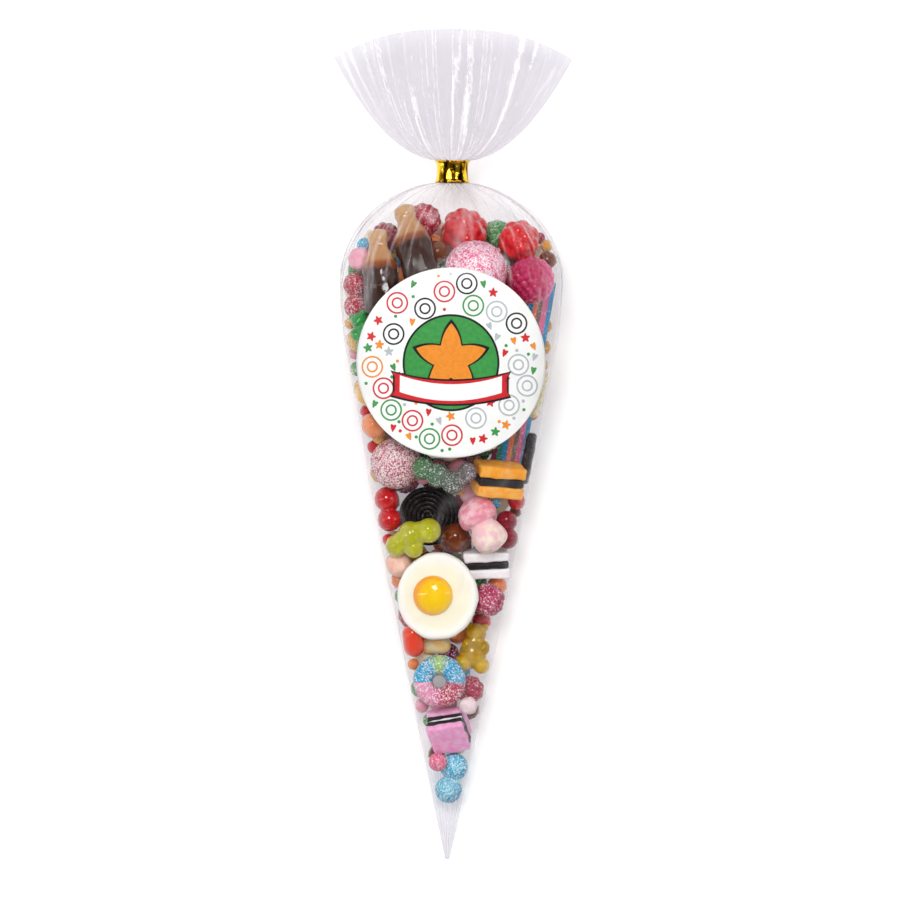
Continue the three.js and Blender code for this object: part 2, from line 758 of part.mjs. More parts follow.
// Every direction in which two sweets are compared
const directions = (() => {
  const sphere = new THREE.IcosahedronGeometry(1, 5).deleteAttribute('normal').deleteAttribute('uv');
  return pointsOf(mergeVertices(sphere));
})();

function pointsOf(geometry) {
  const place = geometry.getAttribute('position');
  return Array.from({ length: place.count }, (_, i) => new THREE.Vector3().fromBufferAttribute(place, i));
}

// A sweet turned as it lies, with the points of its skin and how far it reaches each way from its middle
function prepared({ shape, out, up, turn = [0, 0, 0], ...rest }) {
  const [x, y, z] = turn.map(radians);
  const lie = new THREE.Matrix4().makeRotationFromEuler(new THREE.Euler(x, y, z, 'ZYX'));
  const bare = shape().deleteAttribute('normal').deleteAttribute('uv').applyMatrix4(lie);
  const geometry = mergeVertices(bare);
  const points = pointsOf(geometry);
  const reach = directions.map((way) => Math.max(...points.map((point) => point.dot(way))));
  const under = directions.map((way) => Math.max(...points.map((point) => -point.dot(way))));
  const [across, along] = placeInBody([out, up]);
  return { ...rest, across, along, geometry, points, reach, under, size: Math.max(...reach) };
}

// The lowest and the highest place that the film leaves a sweet at one point of the bag
function roomInFilm({ points }, across, along) {
  let [low, high] = [FILM + WALL_GAP, Infinity];
  for (const point of points) {
    const section = sectionAt(along + point.y);
    const wall = FILM / 2 + WALL_GAP + section.pleat;
    const out = Math.abs(across + point.x) / (section.half - wall);
    if (!(out < 1)) return null;
    const roof = (section.top - wall) * (1 - out ** section.frontPower) ** (1 / section.frontPower);
    const floor = (section.bottom - wall) * (1 - out ** section.backPower) ** (1 / section.backPower);
    low = Math.max(low, section.centre - floor - point.z, FILM + WALL_GAP - point.z);
    high = Math.min(high, section.centre + roof - point.z);
  }
  return low <= high ? [low, high] : null;
}

// The heights at which another sweet is in the way, or null where the two pass clear of each other
function blockedBy(other, sweet, across, along) {
  const apart = Math.hypot(across - other.at.x, atAlong(along) - other.at.y);
  if (apart > other.size + sweet.size + SWEET_GAP) return null;
  let [below, above] = [-Infinity, Infinity];
  for (let i = 0; i < directions.length; i++) {
    const way = directions[i];
    const sideways = way.x * (across - other.at.x) + way.y * (atAlong(along) - other.at.y);
    const needed = other.reach[i] + sweet.under[i] + SWEET_GAP - sideways;
    if (needed <= 0 && Math.abs(way.z) < 1e-6) return null;
    if (way.z > 1e-6) above = Math.min(above, other.at.z + needed / way.z);
    if (way.z < -1e-6) below = Math.max(below, other.at.z + needed / way.z);
  }
  return below < above ? [below, above] : null;
}

// The free height nearest the front film, or nearest the back
function freeHeight([low, high], blocks, fromFront) {
  let height = fromFront ? high : low;
  const inTheWay = ([below, above]) => height > below + 1e-6 && height < above - 1e-6;
  for (let block = blocks.find(inTheWay); block; block = blocks.find(inTheWay)) {
    height = fromFront ? block[0] : block[1];
  }
  return height >= low && height <= high ? height : null;
}

const shifts = (() => {
  const list = [];
  for (let x = -MOST_SHIFT; x <= MOST_SHIFT; x++) {
    for (let y = -MOST_SHIFT; y <= MOST_SHIFT; y++) list.push({ x, y, far: Math.hypot(x, y) });
  }
  return list.filter(({ far }) => far <= MOST_SHIFT).sort((a, b) => a.far - b.far);
})();

// The place for a sweet that is nearest its stated one and the film it is pressed to
function settled(sweet, placed, fromFront) {
  let best = { cost: Infinity, at: null };
  for (const shift of shifts) {
    if (shift.far >= best.cost) break;
    const [across, along] = [sweet.across + shift.x, sweet.along + shift.y];
    const room = roomInFilm(sweet, across, along);
    if (!room) continue;
    const blocks = placed.map((other) => blockedBy(other, sweet, across, along)).filter(Boolean);
    const height = freeHeight(room, blocks, fromFront);
    if (height === null) continue;
    const depth = fromFront ? room[1] - height : height - room[0];
    const cost = shift.far + DEPTH_COST * depth;
    if (cost < best.cost) best = { cost, at: new THREE.Vector3(across, atAlong(along), height) };
  }
  return best.at;
}

// The bag holds as many of the sweets as find room in it.
function packedSweets() {
  const placed = [];
  const add = (list, fromFront) => {
    for (const sweet of list.map(prepared)) {
      const at = settled(sweet, placed, fromFront);
      if (at) placed.push({ ...sweet, at });
    }
  };
  add(FRONT_SWEETS, true);
  add(BACK_SWEETS, false);
  return placed;
}

function mesh(name, geometry, { colour, roughness = 0.4, metalness = 0, opacity = 1 }) {
  const material = new THREE.MeshStandardMaterial({ color: colour, roughness, metalness });
  material.opacity = opacity;
  material.transparent = opacity < 1;
  const made = new THREE.Mesh(geometry, material);
  made.name = name;
  return made;
}

const group = new THREE.Group();
group.add(mesh('film_bag', filmBag(), { colour: '#f2f0f4', roughness: 0.08, opacity: 0.25 }));
group.add(mesh('neck_band', neckBand(), { colour: '#d9a520', roughness: 0.2, metalness: 1 }));
group.add(mesh('sticker', sticker(), { colour: '#fbfaf6', roughness: 0.35 }));
for (const { name, geometry, colour, at } of packedSweets()) {
  const piece = mesh(name, geometry, { colour });
  piece.position.copy(at);
  group.add(piece);
}

export default group;
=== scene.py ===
"""A clear film cone bag of mixed sweets, lying on its back, dressed for a picture.

The film, the gold neck band, the round sticker and every sweet are built in millimetres on the CAD's own
measures, and placed in metres where the CAD nodes lie.
"""

import random
from collections import namedtuple
from math import asin, atan2, copysign, cos, degrees, exp, hypot, pi, radians, sin, sqrt

import bmesh
import bpy
from mathutils import Euler, Matrix, Vector, kdtree, noise


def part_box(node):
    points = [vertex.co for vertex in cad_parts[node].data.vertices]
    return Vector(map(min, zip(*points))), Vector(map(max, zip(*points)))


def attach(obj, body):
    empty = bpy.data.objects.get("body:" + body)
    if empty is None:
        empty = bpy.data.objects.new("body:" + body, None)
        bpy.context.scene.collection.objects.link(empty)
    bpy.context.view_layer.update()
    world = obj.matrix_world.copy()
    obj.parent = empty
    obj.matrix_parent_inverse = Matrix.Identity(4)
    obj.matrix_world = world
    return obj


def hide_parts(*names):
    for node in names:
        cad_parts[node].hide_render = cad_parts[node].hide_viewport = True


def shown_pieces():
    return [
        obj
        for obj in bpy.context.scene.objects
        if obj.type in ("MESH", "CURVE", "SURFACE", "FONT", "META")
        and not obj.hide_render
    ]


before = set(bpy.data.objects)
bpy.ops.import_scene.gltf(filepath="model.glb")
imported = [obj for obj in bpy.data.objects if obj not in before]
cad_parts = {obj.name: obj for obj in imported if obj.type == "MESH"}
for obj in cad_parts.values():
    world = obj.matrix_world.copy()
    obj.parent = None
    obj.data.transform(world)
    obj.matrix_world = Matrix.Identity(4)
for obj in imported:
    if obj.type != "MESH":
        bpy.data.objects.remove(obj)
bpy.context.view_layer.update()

MM = 0.001

# The bag's measures, in millimetres, as the CAD has them
BAG_LENGTH = 355
SHOULDER_FROM_TIP = 245
NECK_FROM_TIP = 289
BODY_HALF = 47.2
BODY_DEPTH = 58
FILM = 0.25
WIDEST_SHARE = 0.45
FLAT_SHARE = 0.09
FRONT_SQUARENESS = 3.1
BACK_SQUARENESS = 2.4
PLEATS = 14
GATHERS_FROM = 205
GATHERS_GROW = 70
NECK_HALF = 4.9
NECK_DEEP = 3.6
NECK_HEIGHT = 24
BAND_WIDTH = 9.4
FAN_HALF = 50.8
FAN_MOUTH = 3.5
FAN_HEIGHT = 19
FAN_CORNER_DROP = 12.8
STICKER_FROM_TIP = 212
STICKER_RADIUS = 40
STICKER_LIFT = 0.625
LABEL_THICKNESS = 0.2
INK_STEP = 0.02
COAT_ALLOWANCE = 0.15
# Rows of how far along the cone, how wide and how deep, each as a share of the whole
CONE_OUTLINE = (
    (0, 0.021, 0.03), (0.012, 0.034, 0.05), (0.06, 0.088, 0.15), (0.112, 0.145, 0.245), (0.18, 0.219, 0.39),
    (0.3, 0.35, 0.49), (0.54, 0.612, 0.65), (0.77, 0.838, 0.84), (0.91, 0.96, 0.955), (1, 1, 1),
)


def mix(a, b, share):
    return a + (b - a) * share


def clamp(value):
    return max(0.0, min(1.0, value))


def signed_power(value, power):
    return copysign(abs(value) ** power, value)


def smooth_noise(x, y, z):
    return noise.noise(Vector((x, y, z)))


# Materials


def linear(code):
    """An sRGB hex colour as the linear colour that a shader takes."""
    parts = [int(code[i:i + 2], 16) / 255 for i in (1, 3, 5)]
    return tuple(p / 12.92 if p <= 0.04045 else ((p + 0.055) / 1.055) ** 2.4 for p in parts) + (1.0,)


def node(tree, kind, sockets=None, **settings):
    """Adds a node with its settings, and fills or links its inputs. A node given for an input stands for its
    first output."""
    made = tree.nodes.new("ShaderNode" + kind)
    for name, value in settings.items():
        setattr(made, name, value)
    for key, value in (sockets or {}).items():
        if isinstance(value, bpy.types.Node):
            value = value.outputs[0]
        if isinstance(value, bpy.types.NodeSocket):
            tree.links.new(value, made.inputs[key])
        else:
            made.inputs[key].default_value = value
    return made


def blank(name):
    made = bpy.data.materials.new(name)
    made.use_nodes = True
    made.node_tree.nodes.clear()
    return made, made.node_tree


def surfaced(made, tree, shader):
    node(tree, "OutputMaterial", {"Surface": shader})
    return made


def tinted(tree, stops, axis=1, low=0.0, high=1.0, wander=0.0):
    """One colour, or a run of colours along an axis of the sweet, its borders wavering."""
    if isinstance(stops, str):
        return linear(stops)
    local = node(tree, "Attribute", attribute_name="local").outputs["Vector"]
    parts = node(tree, "SeparateXYZ", {0: local})
    cloud = node(tree, "TexNoise", {"Vector": local, "Scale": 0.22, "Detail": 3.0})
    waved = node(tree, "Math", {0: cloud, 1: wander, 2: parts.outputs[axis]}, operation="MULTIPLY_ADD")
    share = node(tree, "MapRange", {"Value": waved, "From Min": low + wander / 2, "From Max": high + wander / 2})
    ramp = node(tree, "ValToRGB", {"Fac": share})
    elements = ramp.color_ramp.elements
    for i, (place, code) in enumerate(stops):
        element = elements[i] if i < 2 else elements.new(place)
        element.position = place
        element.color = linear(code)
    return ramp


def patches(tree, scale, low=0.4, high=0.6):
    """Soft patches from 0 to 1, about scale millimetres across, and the coordinates they lie on."""
    place = node(tree, "TexCoord").outputs["Object"]
    cloud = node(tree, "TexNoise", {"Vector": place, "Scale": 1 / (scale * MM), "Detail": 4.0})
    share = node(tree, "MapRange", {"Value": cloud, "From Min": low, "From Max": high})
    return place, share


def two_tone(tree, patch, base, other):
    """One colour with another over its patches, if there is another."""
    if not other:
        return base
    return node(tree, "Mix", {0: patch, 6: base, 7: linear(other)}, data_type="RGBA").outputs[2]


def relief(tree, place, size, detail, strength, depth):
    """The normal of a surface with waves or pits of that size and depth, in millimetres."""
    waves = node(tree, "TexNoise", {"Vector": place, "Scale": 1 / (size * MM), "Detail": detail})
    return node(tree, "Bump", {"Height": waves, "Strength": strength, "Distance": depth * MM})


def sugared_jelly(name, stops, other=None, cover=0.5, grain=0.45, sugar="#fff8f7", **run):
    """Fruit jelly rolled in coarse sugar: clear and white crystals over the jelly, each tinted by it and
    catching the light its own way. They are drawn at about 0.5 mm, a little coarse, so that each one shows."""
    made, tree = blank(name)
    place, patch = patches(tree, 5.0)
    base = two_tone(tree, patch, tinted(tree, stops, **run), other)
    cells = node(tree, "TexVoronoi", {"Vector": place, "Scale": 1 / (grain * MM)}, feature="F1")
    chance = node(tree, "Math", {0: patch, 1: 0.1, 2: cells.outputs["Color"]}, operation="MULTIPLY_ADD")
    white = node(tree, "MapRange", {"Value": chance, "From Min": 1.06 - cover,
                                    "From Max": 1.3 - cover, "To Max": 0.86})
    colour = two_tone(tree, white, base, sugar)
    bump = node(tree, "Bump", {"Height": cells, "Strength": 0.7, "Distance": 0.35 * MM}, invert=True)
    shine = node(tree, "MapRange", {"Value": white, "To Min": 0.22, "To Max": 0.5})
    skin = node(tree, "BsdfPrincipled", {
        "Base Color": colour, "Roughness": shine, "Normal": bump, "IOR": 1.5,
        "Subsurface Weight": 0.25, "Subsurface Radius": (1.0, 0.5, 0.4), "Subsurface Scale": 1.2 * MM})
    return surfaced(made, tree, skin)


def gloss_jelly(name, stops, other=None, rough=0.16, clear=0.45, through=0.0, **run):
    """Gelatine jelly oiled after the mould: glossy, soft-edged and lit from inside, with faint ripples.
    clear is how far light spreads in it, and through how much passes."""
    made, tree = blank(name)
    place, patch = patches(tree, 4.0, 0.5, 0.75)
    skin = node(tree, "BsdfPrincipled", {
        "Base Color": two_tone(tree, patch, tinted(tree, stops, **run), other), "Roughness": rough,
        "Normal": relief(tree, place, 1.6, 2.0, 0.35, 0.3), "IOR": 1.45, "Transmission Weight": through,
        "Subsurface Weight": clear, "Subsurface Radius": (1.0, 0.6, 0.4), "Subsurface Scale": 3 * MM,
        "Coat Weight": 0.5, "Coat Roughness": 0.08})
    return surfaced(made, tree, skin)


def set_foam(name, stops, other=None, pit=1.0, depth=0.5, rough=0.62, **run):
    """Starch-moulded foam or sugar paste: matt and soft, with small pits and a faint bloom."""
    made, tree = blank(name)
    place, patch = patches(tree, 3.0)
    base = two_tone(tree, patch, tinted(tree, stops, **run), other)
    pits = node(tree, "TexNoise", {"Vector": place, "Scale": 1 / (pit * MM), "Detail": 5.0, "Roughness": 0.65})
    bump = node(tree, "Bump", {"Height": pits, "Strength": depth, "Distance": 0.4 * MM})
    skin = node(tree, "BsdfPrincipled", {
        "Base Color": base, "Roughness": rough, "Normal": bump, "IOR": 1.45,
        "Subsurface Weight": 0.3, "Subsurface Radius": (1.0, 0.7, 0.5), "Subsurface Scale": 2 * MM})
    return surfaced(made, tree, skin)


def waxed_liquorice():
    """Extruded liquorice with a wax polish: near black, with a broken soft gloss."""
    made, tree = blank("waxed_liquorice")
    place, patch = patches(tree, 2.5)
    shine = node(tree, "MapRange", {"Value": patch, "To Min": 0.13, "To Max": 0.3})
    skin = node(tree, "BsdfPrincipled", {
        "Base Color": two_tone(tree, patch, linear("#161214"), "#241c1e"), "Roughness": shine,
        "Normal": relief(tree, place, 1.2, 3.0, 0.4, 0.3), "IOR": 1.5})
    return surfaced(made, tree, skin)


def cast_film():
    """Cast polypropylene film: clear, faintly lavender where it turns away, and hazy along its creases; the white
    streaks, crease lines and crinkles mixed in there as a pale white are painted highlights.
    """
    made, tree = blank("cast_polypropylene_film")
    patch = patches(tree, 14.0, 0.42, 0.7)[1]
    turned = node(tree, "LayerWeight", {"Blend": 0.5}).outputs["Facing"]
    steep = node(tree, "Math", {0: turned, 1: 2.2}, operation="POWER")
    # This attribute holds haziness and painted highlights along the creases; the film is mixed to pale white by it.
    crease = node(tree, "Attribute", attribute_name="haze_and_painted_highlight").outputs["Fac"]
    grazing = node(tree, "Math", {0: turned, 1: 5.0}, operation="POWER")
    haze_and_painted_highlight = node(tree, "Math", {0: grazing, 1: 0.35, 2: 0.001}, operation="MULTIPLY_ADD")
    worn = node(tree, "Math", {0: patch, 1: 0.003, 2: haze_and_painted_highlight}, operation="MULTIPLY_ADD")
    hazed_and_highlighted = node(tree, "Math", {0: crease, 1: 0.8, 2: worn}, operation="MULTIPLY_ADD", use_clamp=True)
    gathered = node(tree, "Attribute", attribute_name="veil").outputs["Fac"]
    veil = node(tree, "Math", {0: steep, 1: 0.25, 2: gathered}, operation="MULTIPLY_ADD", use_clamp=True)
    tint = node(tree, "Mix", {0: veil, 6: (0.985, 0.983, 0.99, 1.0), 7: (0.84, 0.825, 0.85, 1.0)}, data_type="RGBA")
    clear = node(tree, "BsdfTransparent", {"Color": tint.outputs[2]})
    pale = node(tree, "BsdfPrincipled", {"Base Color": linear("#f8f6fa"), "Roughness": 0.3, "IOR": 1.49})
    body = node(tree, "MixShader", {0: hazed_and_highlighted, 1: clear, 2: pale})
    gloss = node(tree, "BsdfGlossy", {"Color": (1.0, 1.0, 1.0, 1.0), "Roughness": 0.07})
    mirror = node(tree, "Math", {0: grazing, 1: 0.8, 2: 0.008}, operation="MULTIPLY_ADD")
    shell = node(tree, "MixShader", {0: mirror, 1: body, 2: gloss})
    return surfaced(made, tree, shell)


def gold_foil():
    """Gold-lacquered foil over a wired paper strip: a bright metal, crumpled into small flats, its colour painted in
    long dark and bright golden streaks that stand for reflections.
    """
    made, tree = blank("gold_lacquered_foil")
    place = node(tree, "TexCoord").outputs["Object"]
    flats = node(tree, "TexVoronoi", {"Vector": place, "Scale": 1 / (1.7 * MM)}, feature="SMOOTH_F1")
    fine = node(tree, "TexNoise", {"Vector": place, "Scale": 1 / (0.8 * MM), "Detail": 3.0})
    height = node(tree, "Math", {0: flats, 1: fine}, operation="ADD")
    # Painted reflections: long vertical streaks of dark and bright golden colour.
    stretch = node(tree, "Mapping", {"Vector": place, "Scale": (1.0, 0.16, 1.0)})
    painted_reflection_streaks = node(tree, "TexNoise", {"Vector": stretch, "Scale": 1 / (2.2 * MM), "Detail": 1.5, "Distortion": 0.4})
    painted_reflection_gold = node(tree, "ValToRGB", {"Fac": painted_reflection_streaks})
    painted_reflection_gold.color_ramp.elements[0].position = 0.42
    painted_reflection_gold.color_ramp.elements[0].color = linear("#2c1c02")
    painted_reflection_gold.color_ramp.elements[1].position = 0.55
    painted_reflection_gold.color_ramp.elements[1].color = linear("#ffd640")
    painted_reflection_gold.color_ramp.elements.new(0.48).color = linear("#b8820c")
    bump = node(tree, "Bump", {"Height": height, "Strength": 0.3, "Distance": 0.35 * MM})
    skin = node(tree, "BsdfPrincipled", {
        "Base Color": painted_reflection_gold, "Metallic": 1.0, "Roughness": 0.15, "Normal": bump})
    return surfaced(made, tree, skin)


def coated_paper():
    """Gloss-coated label paper: bright white with a low even shine."""
    made, tree = blank("gloss_coated_label_paper")
    place, patch = patches(tree, 9.0)
    skin = node(tree, "BsdfPrincipled", {
        "Base Color": two_tone(tree, patch, linear("#f8f8f6"), "#f2f3f1"), "Roughness": 0.3,
        "Normal": relief(tree, place, 2.5, 3.0, 0.12, 0.1), "Coat Weight": 0.2, "Coat Roughness": 0.1})
    return surfaced(made, tree, skin)


def offset_ink(name, code, dim):
    """Offset ink under the label's gloss: a flat colour with the least unevenness."""
    made, tree = blank("offset_ink_" + name)
    patch = patches(tree, 1.5)[1]
    skin = node(tree, "BsdfPrincipled", {
        "Base Color": two_tone(tree, patch, linear(code), dim), "Roughness": 0.32, "Coat Weight": 0.2,
        "Coat Roughness": 0.1})
    return surfaced(made, tree, skin)


# Shapes, in millimetres


def scaled(form, x, y, z):
    bmesh.ops.scale(form, vec=(x, y, z), verts=form.verts)
    return form


def moved(form, way):
    bmesh.ops.translate(form, vec=way, verts=form.verts)
    return form


def rotated(form, matrix):
    bmesh.ops.rotate(form, verts=form.verts, cent=(0, 0, 0), matrix=matrix)
    return form


def laid_flat(form):
    """Turns a form spun round Y so that its top faces up."""
    return rotated(form, Matrix.Rotation(pi / 2, 3, "X"))


def facing_up(form):
    """Turns over every face that looks down."""
    for face in form.faces:
        face.normal_update()
        if face.normal.z < 0:
            face.normal_flip()
    return form


def wrapped(columns, rows, place, close_ends=False):
    """A sheet of a grid whose every vertex goes where place(u, v) says, u round it and v along it."""
    form = bmesh.new()
    bmesh.ops.create_grid(form, x_segments=columns, y_segments=rows, size=0.5)
    for vertex in form.verts:
        vertex.co = Vector(place(vertex.co.x + 0.5, vertex.co.y + 0.5))
    bmesh.ops.remove_doubles(form, verts=form.verts, dist=0.0005)
    if close_ends:
        ends = [edge for edge in form.edges if edge.is_boundary]
        bmesh.ops.triangulate(form, faces=bmesh.ops.holes_fill(form, edges=ends, sides=0)["faces"])
    bmesh.ops.recalc_face_normals(form, faces=form.faces)
    return form


def softened(profile, rounds=2):
    """A profile with its corners cut, its two ends kept."""
    for _ in range(rounds):
        cut = [profile[0]]
        for (x0, y0), (x1, y1) in zip(profile, profile[1:]):
            cut += [(mix(x0, x1, 0.25), mix(y0, y1, 0.25)), (mix(x0, x1, 0.75), mix(y0, y1, 0.75))]
        profile = cut + [profile[-1]]
    return profile


def turned_form(profile, flat=(1, 1, 1), steps=72, rounds=2):
    """A profile of (radius, height) spun round the Y axis, then flattened."""
    form = bmesh.new()
    row = [form.verts.new((radius, height, 0)) for radius, height in softened(profile, rounds)]
    edges = [form.edges.new(pair) for pair in zip(row, row[1:])]
    bmesh.ops.spin(form, geom=row + edges, cent=(0, 0, 0), axis=(0, 1, 0), angle=2 * pi, steps=steps,
                   use_merge=True)
    bmesh.ops.remove_doubles(form, verts=form.verts, dist=0.002)
    scaled(form, *flat)
    bmesh.ops.recalc_face_normals(form, faces=form.faces)
    return form


def globes(lobes, fineness=4, size=1.0):
    """Round lobes (x, y, z, radius, length along Y), each its own closed ball."""
    form = bmesh.new()
    for x, y, z, radius, tall in lobes:
        made = bmesh.ops.create_icosphere(form, subdivisions=fineness, radius=radius * size)["verts"]
        bmesh.ops.scale(form, vec=(1, tall, 1), verts=made)
        bmesh.ops.translate(form, vec=(x * size, y * size, z * size), verts=made)
    return form


def mesh_of(form, name):
    mesh = bpy.data.meshes.new(name)
    form.to_mesh(mesh)
    form.free()
    return mesh


def linked(name, data):
    made = bpy.data.objects.new(name, data)
    bpy.context.scene.collection.objects.link(made)
    return made


def melted(form, voxel, rounds):
    """Touching lobes run into one skin and smoothed, as a jelly leaves its mould."""
    mesh = mesh_of(form, "melting")
    melting = linked("melting", mesh)
    skin = melting.modifiers.new("skin", "REMESH")
    skin.mode = "VOXEL"
    skin.voxel_size = voxel
    smooth = melting.modifiers.new("smooth", "SMOOTH")
    smooth.iterations = rounds
    bpy.context.view_layer.update()
    whole = melting.evaluated_get(bpy.context.evaluated_depsgraph_get())
    result = bmesh.new()
    result.from_mesh(whole.to_mesh())
    whole.to_mesh_clear()
    bpy.data.objects.remove(melting)
    bpy.data.meshes.remove(mesh)
    return result


def roughened(form, depth, size, seed):
    """Every vertex pushed out or in a little along its normal, on a noise of the given size."""
    form.normal_update()
    shift = Vector((seed * 7.3, seed * 3.1, seed * 5.7))
    for vertex in form.verts:
        vertex.co += vertex.normal * depth * noise.noise(vertex.co / size + shift)
    return form


def grained(form, depth, seed):
    """A coat of sugar crystals: each vertex stands out by its own small height."""
    form.normal_update()
    dice = random.Random(seed)
    for vertex in form.verts:
        vertex.co += vertex.normal * depth * dice.random()
    return form


def joined(forms, materials=None):
    """Several forms as one, each with its own material index if asked."""
    whole = bmesh.new()
    for i, form in enumerate(forms):
        for face in form.faces:
            face.material_index = materials[i] if materials else face.material_index
        mesh = mesh_of(form, "joining")
        whole.from_mesh(mesh)
        bpy.data.meshes.remove(mesh)
    return whole


def ball(radius, flatness=1.0, fineness=5):
    form = bmesh.new()
    bmesh.ops.create_icosphere(form, subdivisions=fineness, radius=radius)
    return scaled(form, 1, 1, flatness)


def beaded(radius, bead, count, flatness=1.0, voxel=0.4, start=0.0):
    """A berry: beads over a core at even steps of the golden angle."""
    lobes = [(0, 0, 0, radius - bead * 0.9, 1.0)]
    for i in range(count):
        height = 1 - 2 * (i + 0.5) / count
        reach = sqrt(1 - height ** 2)
        turn = start + i * pi * (3 - sqrt(5))
        out = radius - bead
        lobes.append((out * reach * cos(turn), out * height, out * reach * sin(turn), bead, 1.0))
    return scaled(melted(globes(lobes, 3), voxel, 2), 1, 1, flatness)


def bean(length, radius, rings=0, squeeze=0.0):
    """A soft rod along Y with round ends, and ringed if it is a worm."""
    def place(u, v):
        along = (v - 0.5) * length
        to_end = clamp((length / 2 - abs(along)) / radius)
        size = radius * sqrt(max(0.0004, 1 - (1 - to_end) ** 2))
        if rings:
            size *= 1 - squeeze * (0.5 + 0.5 * cos(2 * pi * rings * v))
        return (size * cos(2 * pi * u), along, size * sin(2 * pi * u))
    return wrapped(40, int(max(60, length * 4)), place, close_ends=True)


def twin(upper, lower, apart):
    return melted(globes([(0, apart / 2, 0, upper, 1.0), (0, -apart / 2, 0, lower, 1.0)]), 0.4, 4)


def bear(height):
    """A little bear: body, head with ears, and paws held in front."""
    lobes = [(0, -3, 0, 6.9, 1.1), (0, 3, 0, 5.4, 1), (0, 7.2, 0.4, 5.3, 0.95), (-4, 10.6, 0, 2, 1),
             (4, 10.6, 0, 2, 1), (0, 6.6, 4.3, 2, 0.9), (-4.8, -8.2, 2, 4, 1.05), (4.8, -8.2, 2, 4, 1.05),
             (-4.6, 0.6, 4, 2.6, 1.4), (4.6, 0.6, 4, 2.6, 1.4)]
    return melted(globes(lobes, 3, height / 24), 0.4, 4)


def heart(height):
    """A heart with two lobes at the top and a blunt point."""
    lobes = [(-4.3, 3.6, 0, 5, 1), (4.3, 3.6, 0, 5, 1), (0, -1.5, 0, 5.2, 1), (0, -5.5, 0, 3.2, 1),
             (0, -8, 0, 1.6, 1)]
    return scaled(melted(globes(lobes, 3, height / 20), 0.4, 6), 1, 1, 0.8)


def slab(width, height, depth, bevel, seed):
    """A cut slab of paste: bevelled edges and faces that wave a little."""
    form = bmesh.new()
    bmesh.ops.create_cube(form, size=1)
    scaled(form, width, height, depth)
    bmesh.ops.bevel(form, geom=form.edges[:], offset=bevel, segments=3, profile=0.5, affect="EDGES", material=-1)
    bmesh.ops.subdivide_edges(form, edges=form.edges[:], cuts=5, use_grid_fill=True)
    return roughened(form, 0.6, 3.2, seed)


def layered(width, depth, layers, seed):
    """A sandwich of slabs stacked along Y: (height, width share, material index) for each."""
    total = sum(height for height, _, _ in layers)
    low = -total / 2
    forms = []
    for i, (height, share, _) in enumerate(layers):
        form = slab(width * share, height, depth * share, min(1.0, height * 0.32), seed + i)
        forms.append(moved(form, (0, low + height / 2, 0)))
        low += height
    return joined(forms, [index for _, _, index in layers])


def wheel(radius):
    """A flat liquorice cord wound into a spiral, the cord's edge to the front."""
    turns, half = 6.2, 2.6
    cord = radius / (turns + 0.6)

    def place(u, v):
        turn = 2 * pi * turns * v
        middle = cord * 0.62 + (radius - cord * 1.1) * v
        face = 2 * pi * u
        across = signed_power(cos(face), 0.55) * cord * 0.47
        up = signed_power(sin(face), 0.55) * half * (1 - 0.05 * sin(turn * 3.1))
        return ((middle + across) * cos(turn), (middle + across) * sin(turn), up)
    core = laid_flat(turned_form([(0, -1.4), (cord * 0.9, -1.4), (cord * 0.9, 1.4), (0, 1.4)], steps=24))
    return joined([wrapped(20, 620, place, close_ends=True), core])


def ring(outer, tube):
    """A jelly ring lying flat, its tube a little uneven."""
    def place(u, v):
        reach = outer - tube + tube * cos(2 * pi * v)
        return (reach * cos(2 * pi * u), reach * sin(2 * pi * u), tube * sin(2 * pi * v))
    return roughened(wrapped(128, 40, place), 0.3, 5, 4)


# The film's sections


def eased(rows, at):
    """Values between the rows of a table, on a smooth curve through them."""
    i = max(1, next((n for n, row in enumerate(rows) if row[0] >= at), len(rows) - 1))
    a, b = rows[i - 1], rows[i]
    before, after = rows[max(0, i - 2)], rows[min(len(rows) - 1, i + 1)]
    span = b[0] - a[0]
    t = clamp((at - a[0]) / span)
    values = []
    for k in (1, 2):
        rise_a = (b[k] - before[k]) / (b[0] - before[0]) * span
        rise_b = (after[k] - a[k]) / (after[0] - a[0]) * span
        values.append((2 * t ** 3 - 3 * t ** 2 + 1) * a[k] + (t ** 3 - 2 * t ** 2 + t) * rise_a
                      + (3 * t ** 2 - 2 * t ** 3) * b[k] + (t ** 3 - t ** 2) * rise_b)
    return values


# The film's outline across the bag at one place along it: its middle's height, its reach to the sides, the front
# and the back, the squareness of both, the depth of its pleats, how far it is flattened to the fan's lens, how
# far the fan's corners drop, and a mark that is 0 in the cone, rises to 1 at the neck and to 2 at the rim.
Section = namedtuple("Section", "along centre half top bottom front back pleat lens drop mark",
                     defaults=(2, 2, 0, 0, 0, 0))


def cone_section(along):
    """The section at a distance from the tip, up to the shoulder."""
    half, depth = eased(CONE_OUTLINE, along / SHOULDER_FROM_TIP)
    deep = depth * BODY_DEPTH
    return Section(along, WIDEST_SHARE * deep, half * BODY_HALF, (1 - WIDEST_SHARE) * deep,
                   (WIDEST_SHARE + FLAT_SHARE) * deep, FRONT_SQUARENESS, BACK_SQUARENESS)


def shoulder_section(angle):
    """The section at an angle from 0 at the shoulder to 90 degrees at the neck."""
    turned = cos(radians(angle)) ** 1.15
    risen = sin(radians(angle))
    whole = cone_section(SHOULDER_FROM_TIP)
    return Section(mix(SHOULDER_FROM_TIP, NECK_FROM_TIP, risen), mix(NECK_HEIGHT, whole.centre, turned),
                   mix(NECK_HALF, BODY_HALF, turned), mix(NECK_DEEP, whole.top, turned),
                   mix(NECK_DEEP, whole.centre, turned), mix(2, FRONT_SQUARENESS, turned),
                   mix(2, BACK_SQUARENESS, turned), 1.3 * risen, mark=risen)


